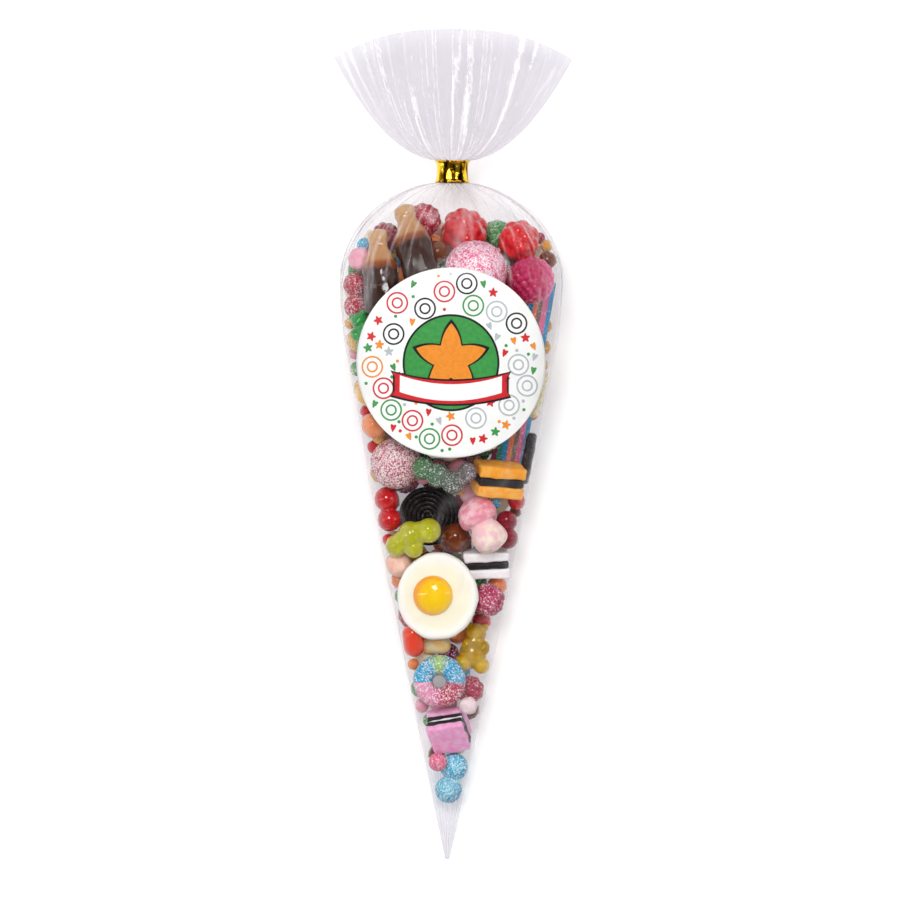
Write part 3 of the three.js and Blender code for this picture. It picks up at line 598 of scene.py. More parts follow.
def fan_section(share):
    """The section at a share of the way from the band to the rim."""
    opened = share ** 0.53
    return Section(mix(NECK_FROM_TIP + BAND_WIDTH, BAG_LENGTH, share), mix(NECK_HEIGHT, FAN_HEIGHT, share),
                   mix(NECK_HALF, FAN_HALF, opened), mix(NECK_DEEP, FAN_MOUTH, opened),
                   mix(NECK_DEEP, FAN_MOUTH, opened), pleat=mix(0.9, 1.7, min(1, share * 3)), lens=opened,
                   drop=FAN_CORNER_DROP * share, mark=1 + share)


def section_at(along):
    """The body's section there, up to the neck."""
    if along <= SHOULDER_FROM_TIP:
        return cone_section(along)
    risen = clamp((along - SHOULDER_FROM_TIP) / (NECK_FROM_TIP - SHOULDER_FROM_TIP))
    return shoulder_section(degrees(asin(risen)))


def smooth_point(s, u):
    """A point (across, up) of a section's plain outline, u round it from the right over the front."""
    turn = 2 * pi * u
    front = u <= 0.5
    power = 2 / (s.front if front else s.back)
    across = signed_power(cos(turn), power)
    up = signed_power(sin(turn), power)
    flat_across = 1 - 4 * (u if front else 1 - u)
    flat_up = (1 - flat_across ** 2) * (1 if front else -1)
    reach = s.top if front else s.bottom
    x = s.half * mix(across, flat_across, s.lens)
    return x, s.centre + reach * mix(up, flat_up, s.lens)


def front_height(x, along):
    """The height of the front film over a point of the body."""
    s = section_at(along)
    inside = max(0.0, 1 - abs(x / s.half) ** s.front)
    return s.centre + s.top * inside ** (1 / s.front)


def film_rows():
    """The sections that the film is drawn through, tip to mouth, closer where it turns quickly."""
    rows = [cone_section(SHOULDER_FROM_TIP * (i / 96)) for i in range(96)]
    rows += [shoulder_section(90 * (i / 36) ** 0.9) for i in range(36)]
    rows += [fan_section(0)._replace(along=NECK_FROM_TIP + BAND_WIDTH * i / 4) for i in range(4)]
    rows += [fan_section((i / 44) ** 1.6) for i in range(45)]
    return rows


def crest(value, steepness, power):
    """1 along the lines where a noise is 0, falling away on both sides."""
    return (1 - min(1, abs(value) * steepness)) ** power


def in_band(value, low, low_edge, high, high_edge):
    """1 where a noise lies between two values, with soft edges inside them."""
    return clamp((value - low) / low_edge) * clamp((high - value) / high_edge)


def creased(x, z, u, s):
    """How far a crease or pleat lifts the film there, and how hazy and white it makes it: partly haziness, mostly
    painted highlights (white streaks on the fan, white lines converging on the neck, crinkles, a pale patch at the
    tip).
    """
    along = s.along
    round_way = 24 * u
    if s.mark > 1:
        share = s.mark - 1
        to_corner = 1 - abs(x / s.half)
        fold = smooth_noise(round_way * 1.2, 4.1, 0.6 * share) * clamp(to_corner / 0.25)
        crease = crest(smooth_noise(round_way * 7.0, 9.4, 1.2 * share), 3.2, 3)
        ragged = 0.12 * smooth_noise(round_way * 3, along * 0.35, 6.6)
        band = smooth_noise(round_way * 2.1 + 0.9, 0.5 * share, 12.3) + ragged
        # Painted highlights: bands of white streaks across the fan's front, faint on its back.
        painted_streak_highlight = in_band(band, 0.16, 0.05, 0.36, 0.07) * clamp((to_corner - 0.16) / 0.1)
        painted_streak_highlight *= 0.95 if u <= 0.5 else 0.15
        bunch = 0.5 * (1 - share) ** 3
        return (0.2 + 1.1 * share) * fold, max(painted_streak_highlight, crease * (0.03 + bunch))
    wander = 0.9 * smooth_noise(along * 0.02, round_way * 0.4, 2.2)
    gather = clamp((along - GATHERS_FROM) / GATHERS_GROW)
    ridge = smooth_noise(round_way * 2.4 + wander, along * 0.012, 7.7)
    radial, sharp = crest(ridge, 4, 2), crest(ridge, 6, 4)
    fine = crest(smooth_noise(round_way * 6.0 + wander, along * 0.02, 1.3), 5, 3)
    wrinkle = crest(smooth_noise(x * 0.055, along * 0.03, z * 0.055), 7, 2)
    past_label = clamp((hypot(x, along - STICKER_FROM_TIP) - STICKER_RADIUS - 0.5) / 4)
    calm = past_label if u <= 0.5 else 1.0
    lift = calm * (gather * (0.75 * radial + 0.4 * fine) + 0.3 * wrinkle)
    tip = clamp((46 - along) / 26)
    # Painted highlights: white crinkle patches on the gathered shoulder.
    crinkle_highlight = in_band(smooth_noise(round_way * 1.6, along * 0.045, 15.2), 0.3, 0.05, 0.46, 0.06)
    # Painted highlights: thin white lines converging on the neck, crinkles and a pale patch at the tip; the wrinkle
    # term is haziness along the body's wrinkles.
    cloud = (gather ** 2 * (0.4 * sharp + 0.08 * fine) + 0.3 * gather * crinkle_highlight
             + 0.08 * wrinkle * (1 - gather) + tip * 0.5 * radial)
    return lift, calm * cloud


def film_bag():
    """The film from its closed tip through the pleated shoulder and neck to the open fan."""
    rows = film_rows()
    haze_and_painted_highlight, veil = {}, {}

    def place(u, v):
        s = rows[round(v * (len(rows) - 1))]
        u = u % 1.0
        x, z = smooth_point(s, u)
        ahead, behind = smooth_point(s, (u + 0.002) % 1.0), smooth_point(s, (u - 0.002) % 1.0)
        dx, dz = behind[0] - ahead[0], behind[1] - ahead[1]
        size = hypot(dx, dz) or 1
        nx, nz = -dz / size, dx / size
        faded = 1 - s.lens * (x / s.half) ** 4
        lift, cloud = creased(x, z, u, s)
        wave = s.pleat * faded * cos(2 * pi * PLEATS * u) + lift * min(1, s.half / 12)
        point = (x + nx * wave, s.along - BAG_LENGTH / 2 - s.drop * min(1, abs(x / s.half) ** 2.5),
                 max(FILM / 2, z + nz * wave))
        key = tuple(round(value, 3) for value in point)
        haze_and_painted_highlight[key] = cloud
        veil[key] = 0.78 if s.mark >= 1 else 0.15 + 0.35 * clamp((40 - s.along) / 30) + 0.1 * s.mark
        return point

    form = wrapped(24 * PLEATS, len(rows) - 1, place)
    tip = [edge for edge in form.edges if edge.is_boundary and edge.verts[0].co.y < 0]
    bmesh.ops.triangulate(form, faces=bmesh.ops.holes_fill(form, edges=tip, sides=0)["faces"])
    bmesh.ops.recalc_face_normals(form, faces=form.faces)
    # Each vertex keeps its haziness and painted highlight, and its veil, for the film's material.
    haze_and_highlight_layer = form.verts.layers.float.new("haze_and_painted_highlight")
    veiling = form.verts.layers.float.new("veil")
    for vertex in form.verts:
        key = tuple(round(value, 3) for value in vertex.co)
        vertex[haze_and_highlight_layer] = haze_and_painted_highlight.get(key, 0.0)
        vertex[veiling] = veil.get(key, 0.3)
    return form


def neck_band():
    """The foil strip bent round the neck: wired edges, a drawn-in waist, and ends lapped at the back."""
    wire, thick, waist_in, lap = 0.9, 0.35, 0.45, 4
    inner_half, inner_deep = 5.8, 4.5
    lap_turn = lap / (2 * inner_half)

    def place(u, v):
        turn = -pi / 2 - lap_turn + (2 * pi + 2 * lap_turn) * v
        lapped = max(0.0, v - 0.75) * 4
        outward = FILM / 2 + 0.3 + (wire + 0.3) * lapped ** 2
        outer = u <= 0.5
        share = 2 * u if outer else 2 - 2 * u
        waist = waist_in * sin(pi * share)
        edge = min(share, 1 - share) * BAND_WIDTH
        bead = sqrt(max(0.0, 1 - ((edge - wire / 2) / (wire / 2)) ** 2)) if edge < wire else 0.0
        reach = waist_in - waist + ((thick + bead * (wire - thick)) if outer else 0.0)
        dent = 0.22 * smooth_noise(turn * 2.2, share * 3.0, 5.1) * sin(pi * share)
        flare = 0.5 * (2 * abs(share - 0.5)) ** 4 if outer else 0.0
        across = signed_power(cos(turn), 2 / 3) * (inner_half + outward + reach + dent + flare * 0.3)
        up = signed_power(sin(turn), 2 / 3) * (inner_deep + outward + reach + dent)
        return (across, NECK_FROM_TIP + share * BAND_WIDTH - BAG_LENGTH / 2, NECK_HEIGHT + up)
    return wrapped(64, 220, place, close_ends=True)


# The sticker and its print


def on_sticker(form, lift):
    """Lays flat forms, drawn round the label's middle, on the front film at the label's height."""
    for vertex in form.verts:
        x, y, z = vertex.co
        vertex.co = (x, y + STICKER_FROM_TIP - BAG_LENGTH / 2,
                     front_height(x, STICKER_FROM_TIP + y) + STICKER_LIFT + lift + z)
    return form


def flat_shape(edge, size, at=(0, 0), turn=0.0, fineness=12):
    """A flat shape whose edge lies edge(angle) times size from its middle."""
    form = bmesh.new()
    bmesh.ops.create_grid(form, x_segments=fineness, y_segments=fineness, size=1)
    for vertex in form.verts:
        u, v = vertex.co.x, vertex.co.y
        x, y = u * sqrt(1 - v * v / 2), v * sqrt(1 - u * u / 2)
        reach = edge(atan2(y, x)) * size
        vertex.co = (x * reach, y * reach, 0)
    return moved(rotated(form, Matrix.Rotation(turn, 3, "Z")), (*at, 0))


def round_edge(angle):
    return 1.0


def star_edge(angle):
    fifth = (angle - pi / 2) % (2 * pi / 5) - pi / 5
    sharp = abs(fifth) / (pi / 5)
    return mix(0.48, 1.0, sharp ** 1.3)


def heart_edge(angle):
    side = abs((angle - pi / 2 + pi) % (2 * pi) - pi)
    return 0.55 + 0.5 * exp(-((side - 0.62) / 0.5) ** 2) + 0.45 * exp(-((side - pi) / 0.35) ** 2)


def ribbon(size_x, size_y, inset):
    """A blank banner that bends upwards at its ends."""
    form = bmesh.new()
    bmesh.ops.create_grid(form, x_segments=48, y_segments=6, size=1)
    for vertex in form.verts:
        x, y = vertex.co.x, vertex.co.y
        notch = inset * 0.12 * (1 - abs(y)) * (abs(x) > 0.97)
        vertex.co = ((x - copysign(notch, x)) * size_x, y * size_y - 12.5 + 3.6 * x * x, 0)
    return form


def print_marks():
    """The label's generic print, by ink: scattered outlined rings, stars, hearts and dots round a middle disc."""
    inks = {name: [] for name in ("black", "red", "green", "orange", "grey", "white")}
    dice = random.Random(12)
    placed = []
    disc_clear, rim_clear = 22.0, 38.6
    sizes = [("ring", 4.6)] * 19 + [("star", 2.2)] * 14 + [("heart", 1.7)] * 18 + [("dot", 0.7)] * 26
    for kind, size in sizes:
        for _ in range(400):
            if kind == "ring":
                reach = dice.uniform(25, 34)
            else:
                reach = sqrt(dice.uniform(disc_clear ** 2, (rim_clear - size) ** 2))
            turn = dice.uniform(0, 2 * pi)
            x, y = reach * cos(turn), reach * sin(turn)
            if all(hypot(x - px, y - py) > size + other + 0.3 for px, py, other in placed):
                break
        else:
            continue
        placed.append((x, y, size))
        spin = dice.uniform(-0.5, 0.5)
        colour = dice.choice(("red", "red", "green", "orange", "grey", "grey", "black"))
        if kind == "ring":
            for part, share in enumerate((1.0, 0.84, 0.52, 0.36)):
                ink = colour if part % 2 == 0 else "white"
                inks[ink].append((flat_shape(round_edge, size * share, (x, y), spin, 20), INK_STEP * (part + 1)))
        else:
            edge = {"star": star_edge, "heart": heart_edge, "dot": round_edge}[kind]
            colour = "green" if colour == "black" else colour
            inks[colour].append((flat_shape(edge, size, (x, y), spin), INK_STEP))
    # The disc, the star and the banner, each lying just above the last
    for layer, (ink, form) in enumerate((
            ("black", flat_shape(round_edge, 20.4, fineness=48)), ("green", flat_shape(round_edge, 19.5, fineness=48)),
            ("black", flat_shape(star_edge, 17.2, (0, 1.2), fineness=60)),
            ("orange", flat_shape(star_edge, 15.4, (0, 1.2), fineness=60)),
            ("black", ribbon(25.5, 5.6, 1)), ("red", ribbon(24.7, 4.8, 1)), ("white", ribbon(21.5, 3.5, 0)))):
        inks[ink].append((form, INK_STEP * (layer + 1)))
    return inks


# Finishing and seating


def mark_local(form, local):
    """Stores on each vertex the place that its material's colours run along."""
    layer = form.verts.layers.float_vector.new("local")
    for vertex in form.verts:
        vertex[layer] = local(vertex.co)


def finished(form, name, materials, replaced=None):
    """Makes the piece from its form in millimetres, in the bag's place, under the root body, and hides the CAD part it
    replaces.
    """
    scaled(form, MM, MM, MM)
    mesh = mesh_of(form, name)
    mesh.shade_smooth()
    for material in materials:
        mesh.materials.append(material)
    piece = linked(name, mesh)
    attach(piece, "root")
    if replaced:
        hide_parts(replaced)


def box_of(name):
    return [Vector(corner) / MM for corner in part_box(name)]


def seated(form, name, turn):
    """Turns a sweet as the CAD does and moves it to its node's middle, never larger than the node."""
    rotated(form, Euler([radians(a) for a in turn], "XYZ").to_matrix())
    low, high = box_of(name)
    mine_low = Vector(min(v.co[i] for v in form.verts) for i in range(3))
    mine_high = Vector(max(v.co[i] for v in form.verts) for i in range(3))
    room, size = high - low, mine_high - mine_low
    fit = min(1.0, *((room[i] + COAT_ALLOWANCE) / size[i] for i in range(3)))
    return moved(scaled(moved(form, -(mine_low + mine_high) / 2), fit, fit, fit), (low + high) / 2)


def sweet(name, form, materials, turn=(0, 0, 0), local=None):
    """One sweet in its node's place. local, if given, says what its colours run along."""
    mark_local(form, local or (lambda co: co))
    coats = materials if isinstance(materials, list) else [materials]
    finished(seated(form, name, turn), name + "_sweet", coats, name)


# The bag

liquorice = waxed_liquorice()
finished(film_bag(), "film", [cast_film()], "film_bag")
finished(neck_band(), "foil_band", [gold_foil()], "neck_band")

label = facing_up(on_sticker(flat_shape(round_edge, STICKER_RADIUS, fineness=80), 0))
bmesh.ops.solidify(label, geom=label.faces[:], thickness=LABEL_THICKNESS)
bmesh.ops.recalc_face_normals(label, faces=label.faces)
finished(label, "label", [coated_paper()], "sticker")

ink_colours = {"black": ("#17171a", "#1f1f22"), "red": ("#d8242c", "#cc2027"), "green": ("#3f9c4b", "#379143"),
               "orange": ("#f0912a", "#e68a25"), "grey": ("#b9c0c4", "#b1b8bd"), "white": ("#fbfbfa", "#f5f5f4")}
for ink, marks in print_marks().items():
    printed = facing_up(joined([on_sticker(form, lift) for form, lift in marks]))
    finished(printed, "print_" + ink, [offset_ink(ink, *ink_colours[ink])])


# The sweets

# Fried egg: a foam white, warmer inside its rim, with a glossy jelly yolk a little to one side
egg_white = turned_form([(0, -3), (15.2, -3), (17.3, -1.4), (17.5, 0.3), (16.8, 2.0), (15.4, 2.4), (13.6, 2.0),
                         (8, 2.3), (0, 2.4)], steps=96)
egg_white = roughened(scaled(laid_flat(egg_white), 1, 37.6 / 35, 1), 0.5, 6, 1)
yolk = moved(ball(8.5, 0.5), (-1.6, 0.4, 2.3))
sweet("fried_egg", joined([egg_white, yolk], [0, 1]), [
    set_foam("set_egg_foam", ((0.0, "#fdf3cf"), (0.72, "#fdf6de"), (0.9, "#fffdf2")), low=0, high=18, axis=0,
             pit=1.3, depth=0.25),
    gloss_jelly("poured_yolk_jelly", ((0.0, "#ffd416"), (0.62, "#ffc806"), (0.84, "#fba40c"), (1.0, "#f08a08")),
                rough=0.1, clear=0.25, low=0, high=10.4, axis=0)],
    turn=(2, -8, 0), local=lambda co: (hypot(co.x, co.y), co.y, co.z))

# Mushroom: a pink foam cap mottled with white over a cream stem with a pink blush
sweet("mushroom", roughened(turned_form(
    [(0, -12.2), (4.6, -11.9), (7.2, -9.2), (7.7, -5.2), (6.2, -1.4), (5.2, 0.3), (7.8, 0.9), (8.9, 4.6),
     (7.4, 9), (4, 11.7), (0, 12.2)], (1, 1, 0.85)), 0.5, 4, 2),
    set_foam("two_colour_foam", ((0.0, "#fbf0dd"), (0.4, "#f8e2d3"), (0.48, "#f3b9bd"), (0.56, "#ea8ea2"),
                                 (1.0, "#e87c97")), "#f5c6cb", low=-12, high=12, wander=2.0, pit=1.1, depth=0.6,
             rough=0.45), turn=(-12, 8, 27))

# Allsorts: sugar paste and liquorice in layers
black_layer = set_foam("pressed_liquorice_layer", "#1b1618", "#272022", pit=0.9, depth=0.5, rough=0.4)
orange_paste = set_foam("pressed_orange_paste", "#ffa42a", "#ffba52", pit=0.9, depth=0.7)
pink_paste = set_foam("pressed_pink_paste", "#f6a2d0", "#fbbfe0", pit=0.9, depth=1.0)
white_paste = set_foam("pressed_white_paste", "#ffffff", "#fdf4f2", pit=0.9, depth=0.5)
sweet("orange_allsort", layered(20.5, 13, ((4.9, 1, 0), (3.7, 0.97, 1), (4.9, 1, 0)), 3),
      [orange_paste, black_layer], turn=(16, 18, -4))
sweet("pink_allsort", layered(16, 15.5, ((3.9, 1, 0), (2.4, 0.96, 1), (0.5, 0.93, 2), (2.4, 0.96, 1), (3.3, 1, 0)),
                              9), [pink_paste, black_layer, white_paste], turn=(131, -12, 10))
sweet("white_allsort", layered(19.5, 12, ((4.2, 1, 0), (3.1, 0.96, 1), (4.2, 1, 0)), 15),
      [white_paste, black_layer], turn=(12, 6, 3))
sweet("back_allsort", layered(18, 16, ((4.6, 1, 0), (3.8, 0.97, 1), (4.6, 1, 0)), 21),
      [pink_paste, black_layer], turn=(0, 0, 30))

# Clear jellies
sweet("lime_baby", melted(globes([(7, 2.5, 0, 5.4, 1), (3, 1.6, 0, 4.9, 1), (-1, 0.5, 0, 5.5, 1.1),
                                  (-7, -4, 0, 4.8, 1), (-4, -2, 0, 4.9, 1), (0.5, -5, 0, 4.2, 1)]), 0.4, 14),
      gloss_jelly("lime_jelly", "#cbcc1c", "#e6e650", rough=0.1, through=0.3), turn=(0, -14, 0))
sweet("cola_ball", roughened(ball(6.4), 0.4, 3, 5),
      gloss_jelly("cola_jelly", "#7c3408", "#b85c18", rough=0.1, clear=0.3, through=0.35))
sweet("yellow_bear", bear(24), gloss_jelly(
    "amber_jelly", ((0.0, "#f2cc08"), (0.3, "#e0b404"), (0.5, "#c49c0c"), (0.85, "#d6ac0c")), "#f2cc2c",
    through=0.4, rough=0.1, low=-12, high=12, wander=3, clear=0.3), turn=(0, 12, -8))
sweet("back_bear", bear(24), gloss_jelly("yellow_jelly", "#e6b92f", "#edcb5c", clear=0.6), turn=(0, 180, 15))
for name, form, coat, colour, other, through, turn in (
        ("green_bear", bear(20), "green_jelly", "#22a044", "#52c066", 0.25, (0, -30, 24)),
        ("red_baby", twin(5.4, 5.2, 9), "cherry_jelly", "#d00812", "#e4242c", 0.2, (0, 0, 8)),
        ("dark_cherries", twin(4.6, 4.6, 7.4), "dark_cherry_jelly", "#98102a", "#b4243c", 0.3, (0, 0, 4)),
        ("coral_jelly", bean(14.5, 4.6), "coral_jelly_oiled", "#f04424", "#f66c3c", 0.15, (0, 0, 8))):
    sweet(name, form, gloss_jelly(coat, colour, other, rough=0.1, through=through), turn)
for name, radius, wave, seed, coat, colour, other in (
        ("orange_jelly", 5.8, 3, 8, "orange_jelly_oiled", "#e98f5c", "#f0a97c"),
        ("yellow_jelly", 5.4, 3, 9, "honey_jelly", "#ecb84c", "#f2cc7c"),
        ("olive_jelly", 6.8, 4, 10, "olive_jelly_oiled", "#9c9238", "#b5ab56")):
    sweet(name, roughened(ball(radius), 0.5, wave, seed), gloss_jelly(coat, colour, other))
sweet("back_heart", heart(20), gloss_jelly("rose_jelly", "#d83c57", "#e26076"), turn=(0, 0, 20))
sweet("back_heart_small", heart(12), gloss_jelly("rose_jelly_small", "#d83c57", "#e26076"))
sweet("back_jelly", roughened(ball(5.6), 0.4, 3, 11), gloss_jelly("leaf_jelly", "#80b040", "#98c45e"))
sweet("toffee", roughened(ball(5.4), 0.5, 3, 12), gloss_jelly("boiled_toffee", "#743d1a", "#8a4d25", clear=0.3))

# Cola bottles: dark in the body and clear tan at the neck, an amber line between
bottle_run = ((0.0, "#2c1205"), (0.5, "#3a1806"), (0.58, "#9a4a0e"), (0.64, "#b98452"), (1.0, "#cda679"))


def bottle(length):
    profile = [(0, -0.5), (0.17, -0.5), (0.21, -0.44), (0.205, -0.38), (0.2, -0.2), (0.21, -0.06), (0.222, 0.02),
               (0.165, 0.17), (0.11, 0.28), (0.107, 0.34), (0.13, 0.39), (0.11, 0.48), (0, 0.5)]
    form = turned_form([(r * length, y * length) for r, y in profile], (1, 1, 0.7))
    return roughened(form, 0.5, 3.2, 6)


cola_run = gloss_jelly("two_colour_cola_jelly", bottle_run, rough=0.09, low=-19, high=19, wander=3, clear=0.3)
for name, length, turn in (("cola_bottle_middle", 38, (-20, -6, 18.6)), ("cola_bottle_left", 38, (-12, -22, 9)),
                           ("back_bottle", 36, (0, 0, -35))):
    sweet(name, bottle(length), cola_run, turn)

# Sugared jellies
sweet("blue_baby", grained(twin(6.2, 6, 10.8), 0.3, 1),
      sugared_jelly("sugared_blue_jelly", "#04a6d2", "#34c4e2", cover=0.52, sugar="#eefbff"), turn=(0, 0, -13))
sweet("crocodile", grained(melted(globes([(-9, 3, 0, 4.6, 1.05), (-2.5, 0, 0, 5.2, 1), (4, -3, 0, 5, 1),
                                          (10, 1.5, 0, 4, 1)]), 0.4, 10), 0.25, 2),
      sugared_jelly("sugared_two_colour_jelly", ((0.0, "#3c7a40"), (0.4, "#56705a"), (0.7, "#5c6058"),
                                                 (1.0, "#6a5a62")), low=-13, high=13, axis=0, wander=4, cover=0.32))
sweet("plum_ball", grained(ball(11, 0.9), 0.4, 3),
      sugared_jelly("sugared_plum_jelly", "#b03c50", "#c45c6c", cover=0.62))
sweet("pink_dome", grained(turned_form([(0, -8.1), (12.5, -8.1), (13.5, -6.5), (13.1, -1), (10.8, 4), (6.5, 7.7),
                                        (0, 9)]), 0.3, 4),
      sugared_jelly("nonpareil_pink_coat", "#e8588a", "#f08cae", cover=0.62, grain=0.6, sugar="#ffeef3"),
      turn=(22, 0, -10))
sweet("back_dome", grained(turned_form([(0, -6), (9.3, -6), (10, -4.8), (9.7, -0.7), (8, 3), (4.8, 5.7),
                                        (0, 6.7)]), 0.3, 5),
      sugared_jelly("sugared_rose_jelly", "#cf2f55", "#dc5676", cover=0.5), turn=(-90, 0, 0))
for name, halves, depth, seed, coat, colour, other, cover, turn in (
        ("small_cherries", (3.9, 3.4, 5.8), 0.25, 6, "sugared_damson_jelly", "#74082a", "#921d42", 0.36, 80),
        ("cherries", (5.1, 5.1, 9.6), 0.3, 7, "sugared_cherry_jelly", "#b01232", "#c42e4a", 0.42, 2),
        ("back_cherries", (6.2, 6, 11), 0.3, 8, "sugared_dark_cherry_jelly", "#860c26", "#9c2438", 0.42, 70),
        ("back_baby", (6.6, 6.2, 11), 0.3, 9, "sugared_green_jelly", "#228f3e", "#4aa95c", 0.42, 60)):
    sweet(name, grained(twin(*halves), depth, seed), sugared_jelly(coat, colour, other, cover=cover), (0, 0, turn))
sweet("pink_jelly", grained(ball(3.9), 0.25, 10), sugared_jelly("sugared_pale_pink_jelly", "#e8668e", cover=0.4))
sweet("back_berry_low", grained(ball(4.6), 0.25, 11), sugared_jelly("sugared_mauve_jelly", "#94166a", cover=0.42))

# Rings: jelly in quarters of colour, or in one colour, under sugar
ring_run = ((0.0, "#f0a8c6"), (0.22, "#e27aa6"), (0.28, "#c41650"), (0.47, "#bb0f46"), (0.52, "#0aa8d4"),
            (0.66, "#04a2d0"), (0.75, "#a9c93e"), (0.84, "#06a4d2"), (1.0, "#0caad6"))


def round_the_ring(co):
    share = atan2(co.y, co.x) / (2 * pi) + 0.5
    return (share * 10, co.x * 0.3, co.y * 0.3)


sweet("sour_ring", grained(ring(12.2, 4.5), 0.35, 12),
      sugared_jelly("sugared_ring_jelly", ring_run, low=0, high=10, axis=0, wander=0.2, cover=0.46),
      turn=(3, -6, 0), local=round_the_ring)
sweet("back_ring", grained(ring(11.5, 4.2), 0.35, 13),
      sugared_jelly("sugared_orange_ring", "#e66a12", "#ee8f40", cover=0.45))

# Berries: beads over a core
sweet("magenta_berry", beaded(10.3, 1.75, 110, 0.9), gloss_jelly(
    "raspberry_jelly", ((0.0, "#a80440"), (0.6, "#bf1158"), (0.8, "#de5c90")), "#c8206a", rough=0.08, low=-10,
    high=10, axis=0, wander=4), turn=(0, 20, 0))
sweet("red_berry_right", beaded(9.2, 3.6, 22, voxel=0.45, start=0.7),
      gloss_jelly("red_berry_jelly", "#d40a18", "#e42a32", rough=0.09))
sweet("red_berry_middle", beaded(10.4, 4.0, 24, voxel=0.5, start=2.1),
      gloss_jelly("scarlet_jelly", "#cf0c18", "#de2c34", rough=0.09))
for name, radius, bead, count, start, seed, coat, colour, other, cover in (
        ("raspberry", 7.3, 2.2, 34, 0.3, 14, "sugared_raspberry_jelly", "#a81048", "#c03a68", 0.36),
        ("pink_berry", 6, 1.9, 32, 1.3, 15, "sugared_red_currant_jelly", "#a81640", "#bc3a5c", 0.34),
        ("top_raspberry", 7.4, 2.2, 36, 2.3, 16, "sugared_strawberry_jelly", "#b0102e", "#c4344c", 0.34)):
    sweet(name, grained(beaded(radius, bead, count, start=start), 0.2, seed),
          sugared_jelly(coat, colour, other, cover=cover))
sweet("wine_berry", beaded(6.6, 2.1, 32, start=3.3), gloss_jelly("wine_jelly", "#8e1420", "#a63038", rough=0.1))
sweet("back_berry", beaded(9.5, 2.4, 48, start=1.9), gloss_jelly("ruby_jelly", "#c41f3a", "#d34058"))
sweet("back_raspberry", grained(beaded(6.8, 2.1, 34, start=0.9), 0.2, 17), sugared_jelly(
    "sugared_bramble_jelly", "#b13060", "#c65580", cover=0.5))

# Foams and worms
for name, radius, depth, wave, seed, coat, colour, other in (
        ("peach_foam", 5.8, 0.6, 4, 18, "peach_foam_set", "#f3bba4", "#f7cfbd"),
        ("pale_foam", 4, 0.5, 3, 19, "blush_foam_set", "#eed4d8", "#f3e0e2"),
        ("pink_foam", 5.2, 0.6, 4, 20, "pink_foam_set", "#eba2b6", "#f1b9c8")):
    sweet(name, roughened(ball(radius), depth, wave, seed), set_foam(coat, colour, other))
sweet("cream_foam", bean(13.6, 3.6), set_foam("banana_foam_set", "#fbd68a", "#fae8bc", rough=0.4), turn=(0, 0, 88))
sweet("beige_worm", bean(31, 4.3, rings=9, squeeze=0.1), set_foam("caramel_foam_set", "#dccaa9", "#e8dcc4"),
      turn=(0, 0, -81))
sweet("lemon_worm", bean(22, 3.6, rings=7, squeeze=0.08), sugared_jelly(
    "sugared_lemon_jelly", "#e8d48e", "#f0e2ae", cover=0.5), turn=(6, 0, -12))
sweet("back_bean", bean(18, 4.2), gloss_jelly("coral_bean_jelly", "#e2513a", "#ec7458"), turn=(0, 0, 75))

# Liquorice
sweet("liquorice_wheel", wheel(13.9), liquorice, turn=(6, -6, 0))
sweet("back_wheel", wheel(12.5), liquorice)
sweet("liquorice_stick", roughened(turned_form([(0, -11), (2.3, -11), (2.3, -4), (2.3, 4), (2.3, 11), (0, 11)],
                                               rounds=3), 0.3, 2.5, 22), liquorice, turn=(10, 0, -10))

# Sour belt: a sugared strip in stripes of colour, which follows the front film
belt_lean = atan2(14.7, 86)
belt = bmesh.new()
belt.from_mesh(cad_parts["sour_belt"].data)
scaled(belt, 1 / MM, 1 / MM, 1 / MM)
bmesh.ops.remove_doubles(belt, verts=belt.verts, dist=0.01)
bmesh.ops.subdivide_edges(belt, edges=belt.edges[:], cuts=9, use_grid_fill=True)
belt_middle = sum((v.co for v in belt.verts), Vector()) / len(belt.verts)


def over_the_belt(co):
    return Matrix.Rotation(belt_lean, 3, "Z") @ Vector((co.x - belt_middle.x, co.y - belt_middle.y, 0))


grained(belt, 0.22, 23)
mark_local(belt, over_the_belt)
stripes = sugared_jelly("sugared_sour_strip", (
    (0.0, "#6f1f45"), (0.13, "#6f1f45"), (0.16, "#12806f"), (0.27, "#12806f"), (0.3, "#1f8fc8"), (0.43, "#1f8fc8"),
    (0.46, "#f07a4c"), (0.57, "#f07a4c"), (0.6, "#7a5c50"), (0.7, "#7a5c50"), (0.73, "#ee6f9f"), (0.86, "#ee6f9f"),
    (0.89, "#2f97cc")), low=-7, high=7, axis=0, wander=0.2, cover=0.24)
finished(belt, "sour_belt_sweet", [stripes], "sour_belt")


# Small sweets that fill the hollows between the others

SMALL_SWEETS = 330
LARGEST_SMALL = 6.8
LEAST_CLEAR = 2.4
TRIES = 60000
LOWEST_ALONG, HIGHEST_ALONG = 38, 268
WITHIN_FILM = 0.97
CLEAR_OF_SWEETS = 0.4
CLEAR_OF_HOLE = 2.5
ROOM_LEFT = 0.15
SMALL_SHRINK = 0.97


def tree_of(points):
    tree = kdtree.KDTree(len(points))
    for index, point in enumerate(points):
        tree.insert(point, index)
    tree.balance()
    return tree


tree_of_points = tree_of([v.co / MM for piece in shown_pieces() if piece.type == "MESH" and piece.name != "label"
                          and not piece.name.startswith("print_") for v in piece.data.vertices])
in_front = [v.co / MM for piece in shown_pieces() if piece.name.endswith("_sweet")
            and not piece.name.startswith("back_") for v in piece.data.vertices][::4]
tree_from_above = tree_of([(point.x, point.y, 0) for point in in_front])
ring_middle = sum(box_of("sour_ring"), Vector()) / 2


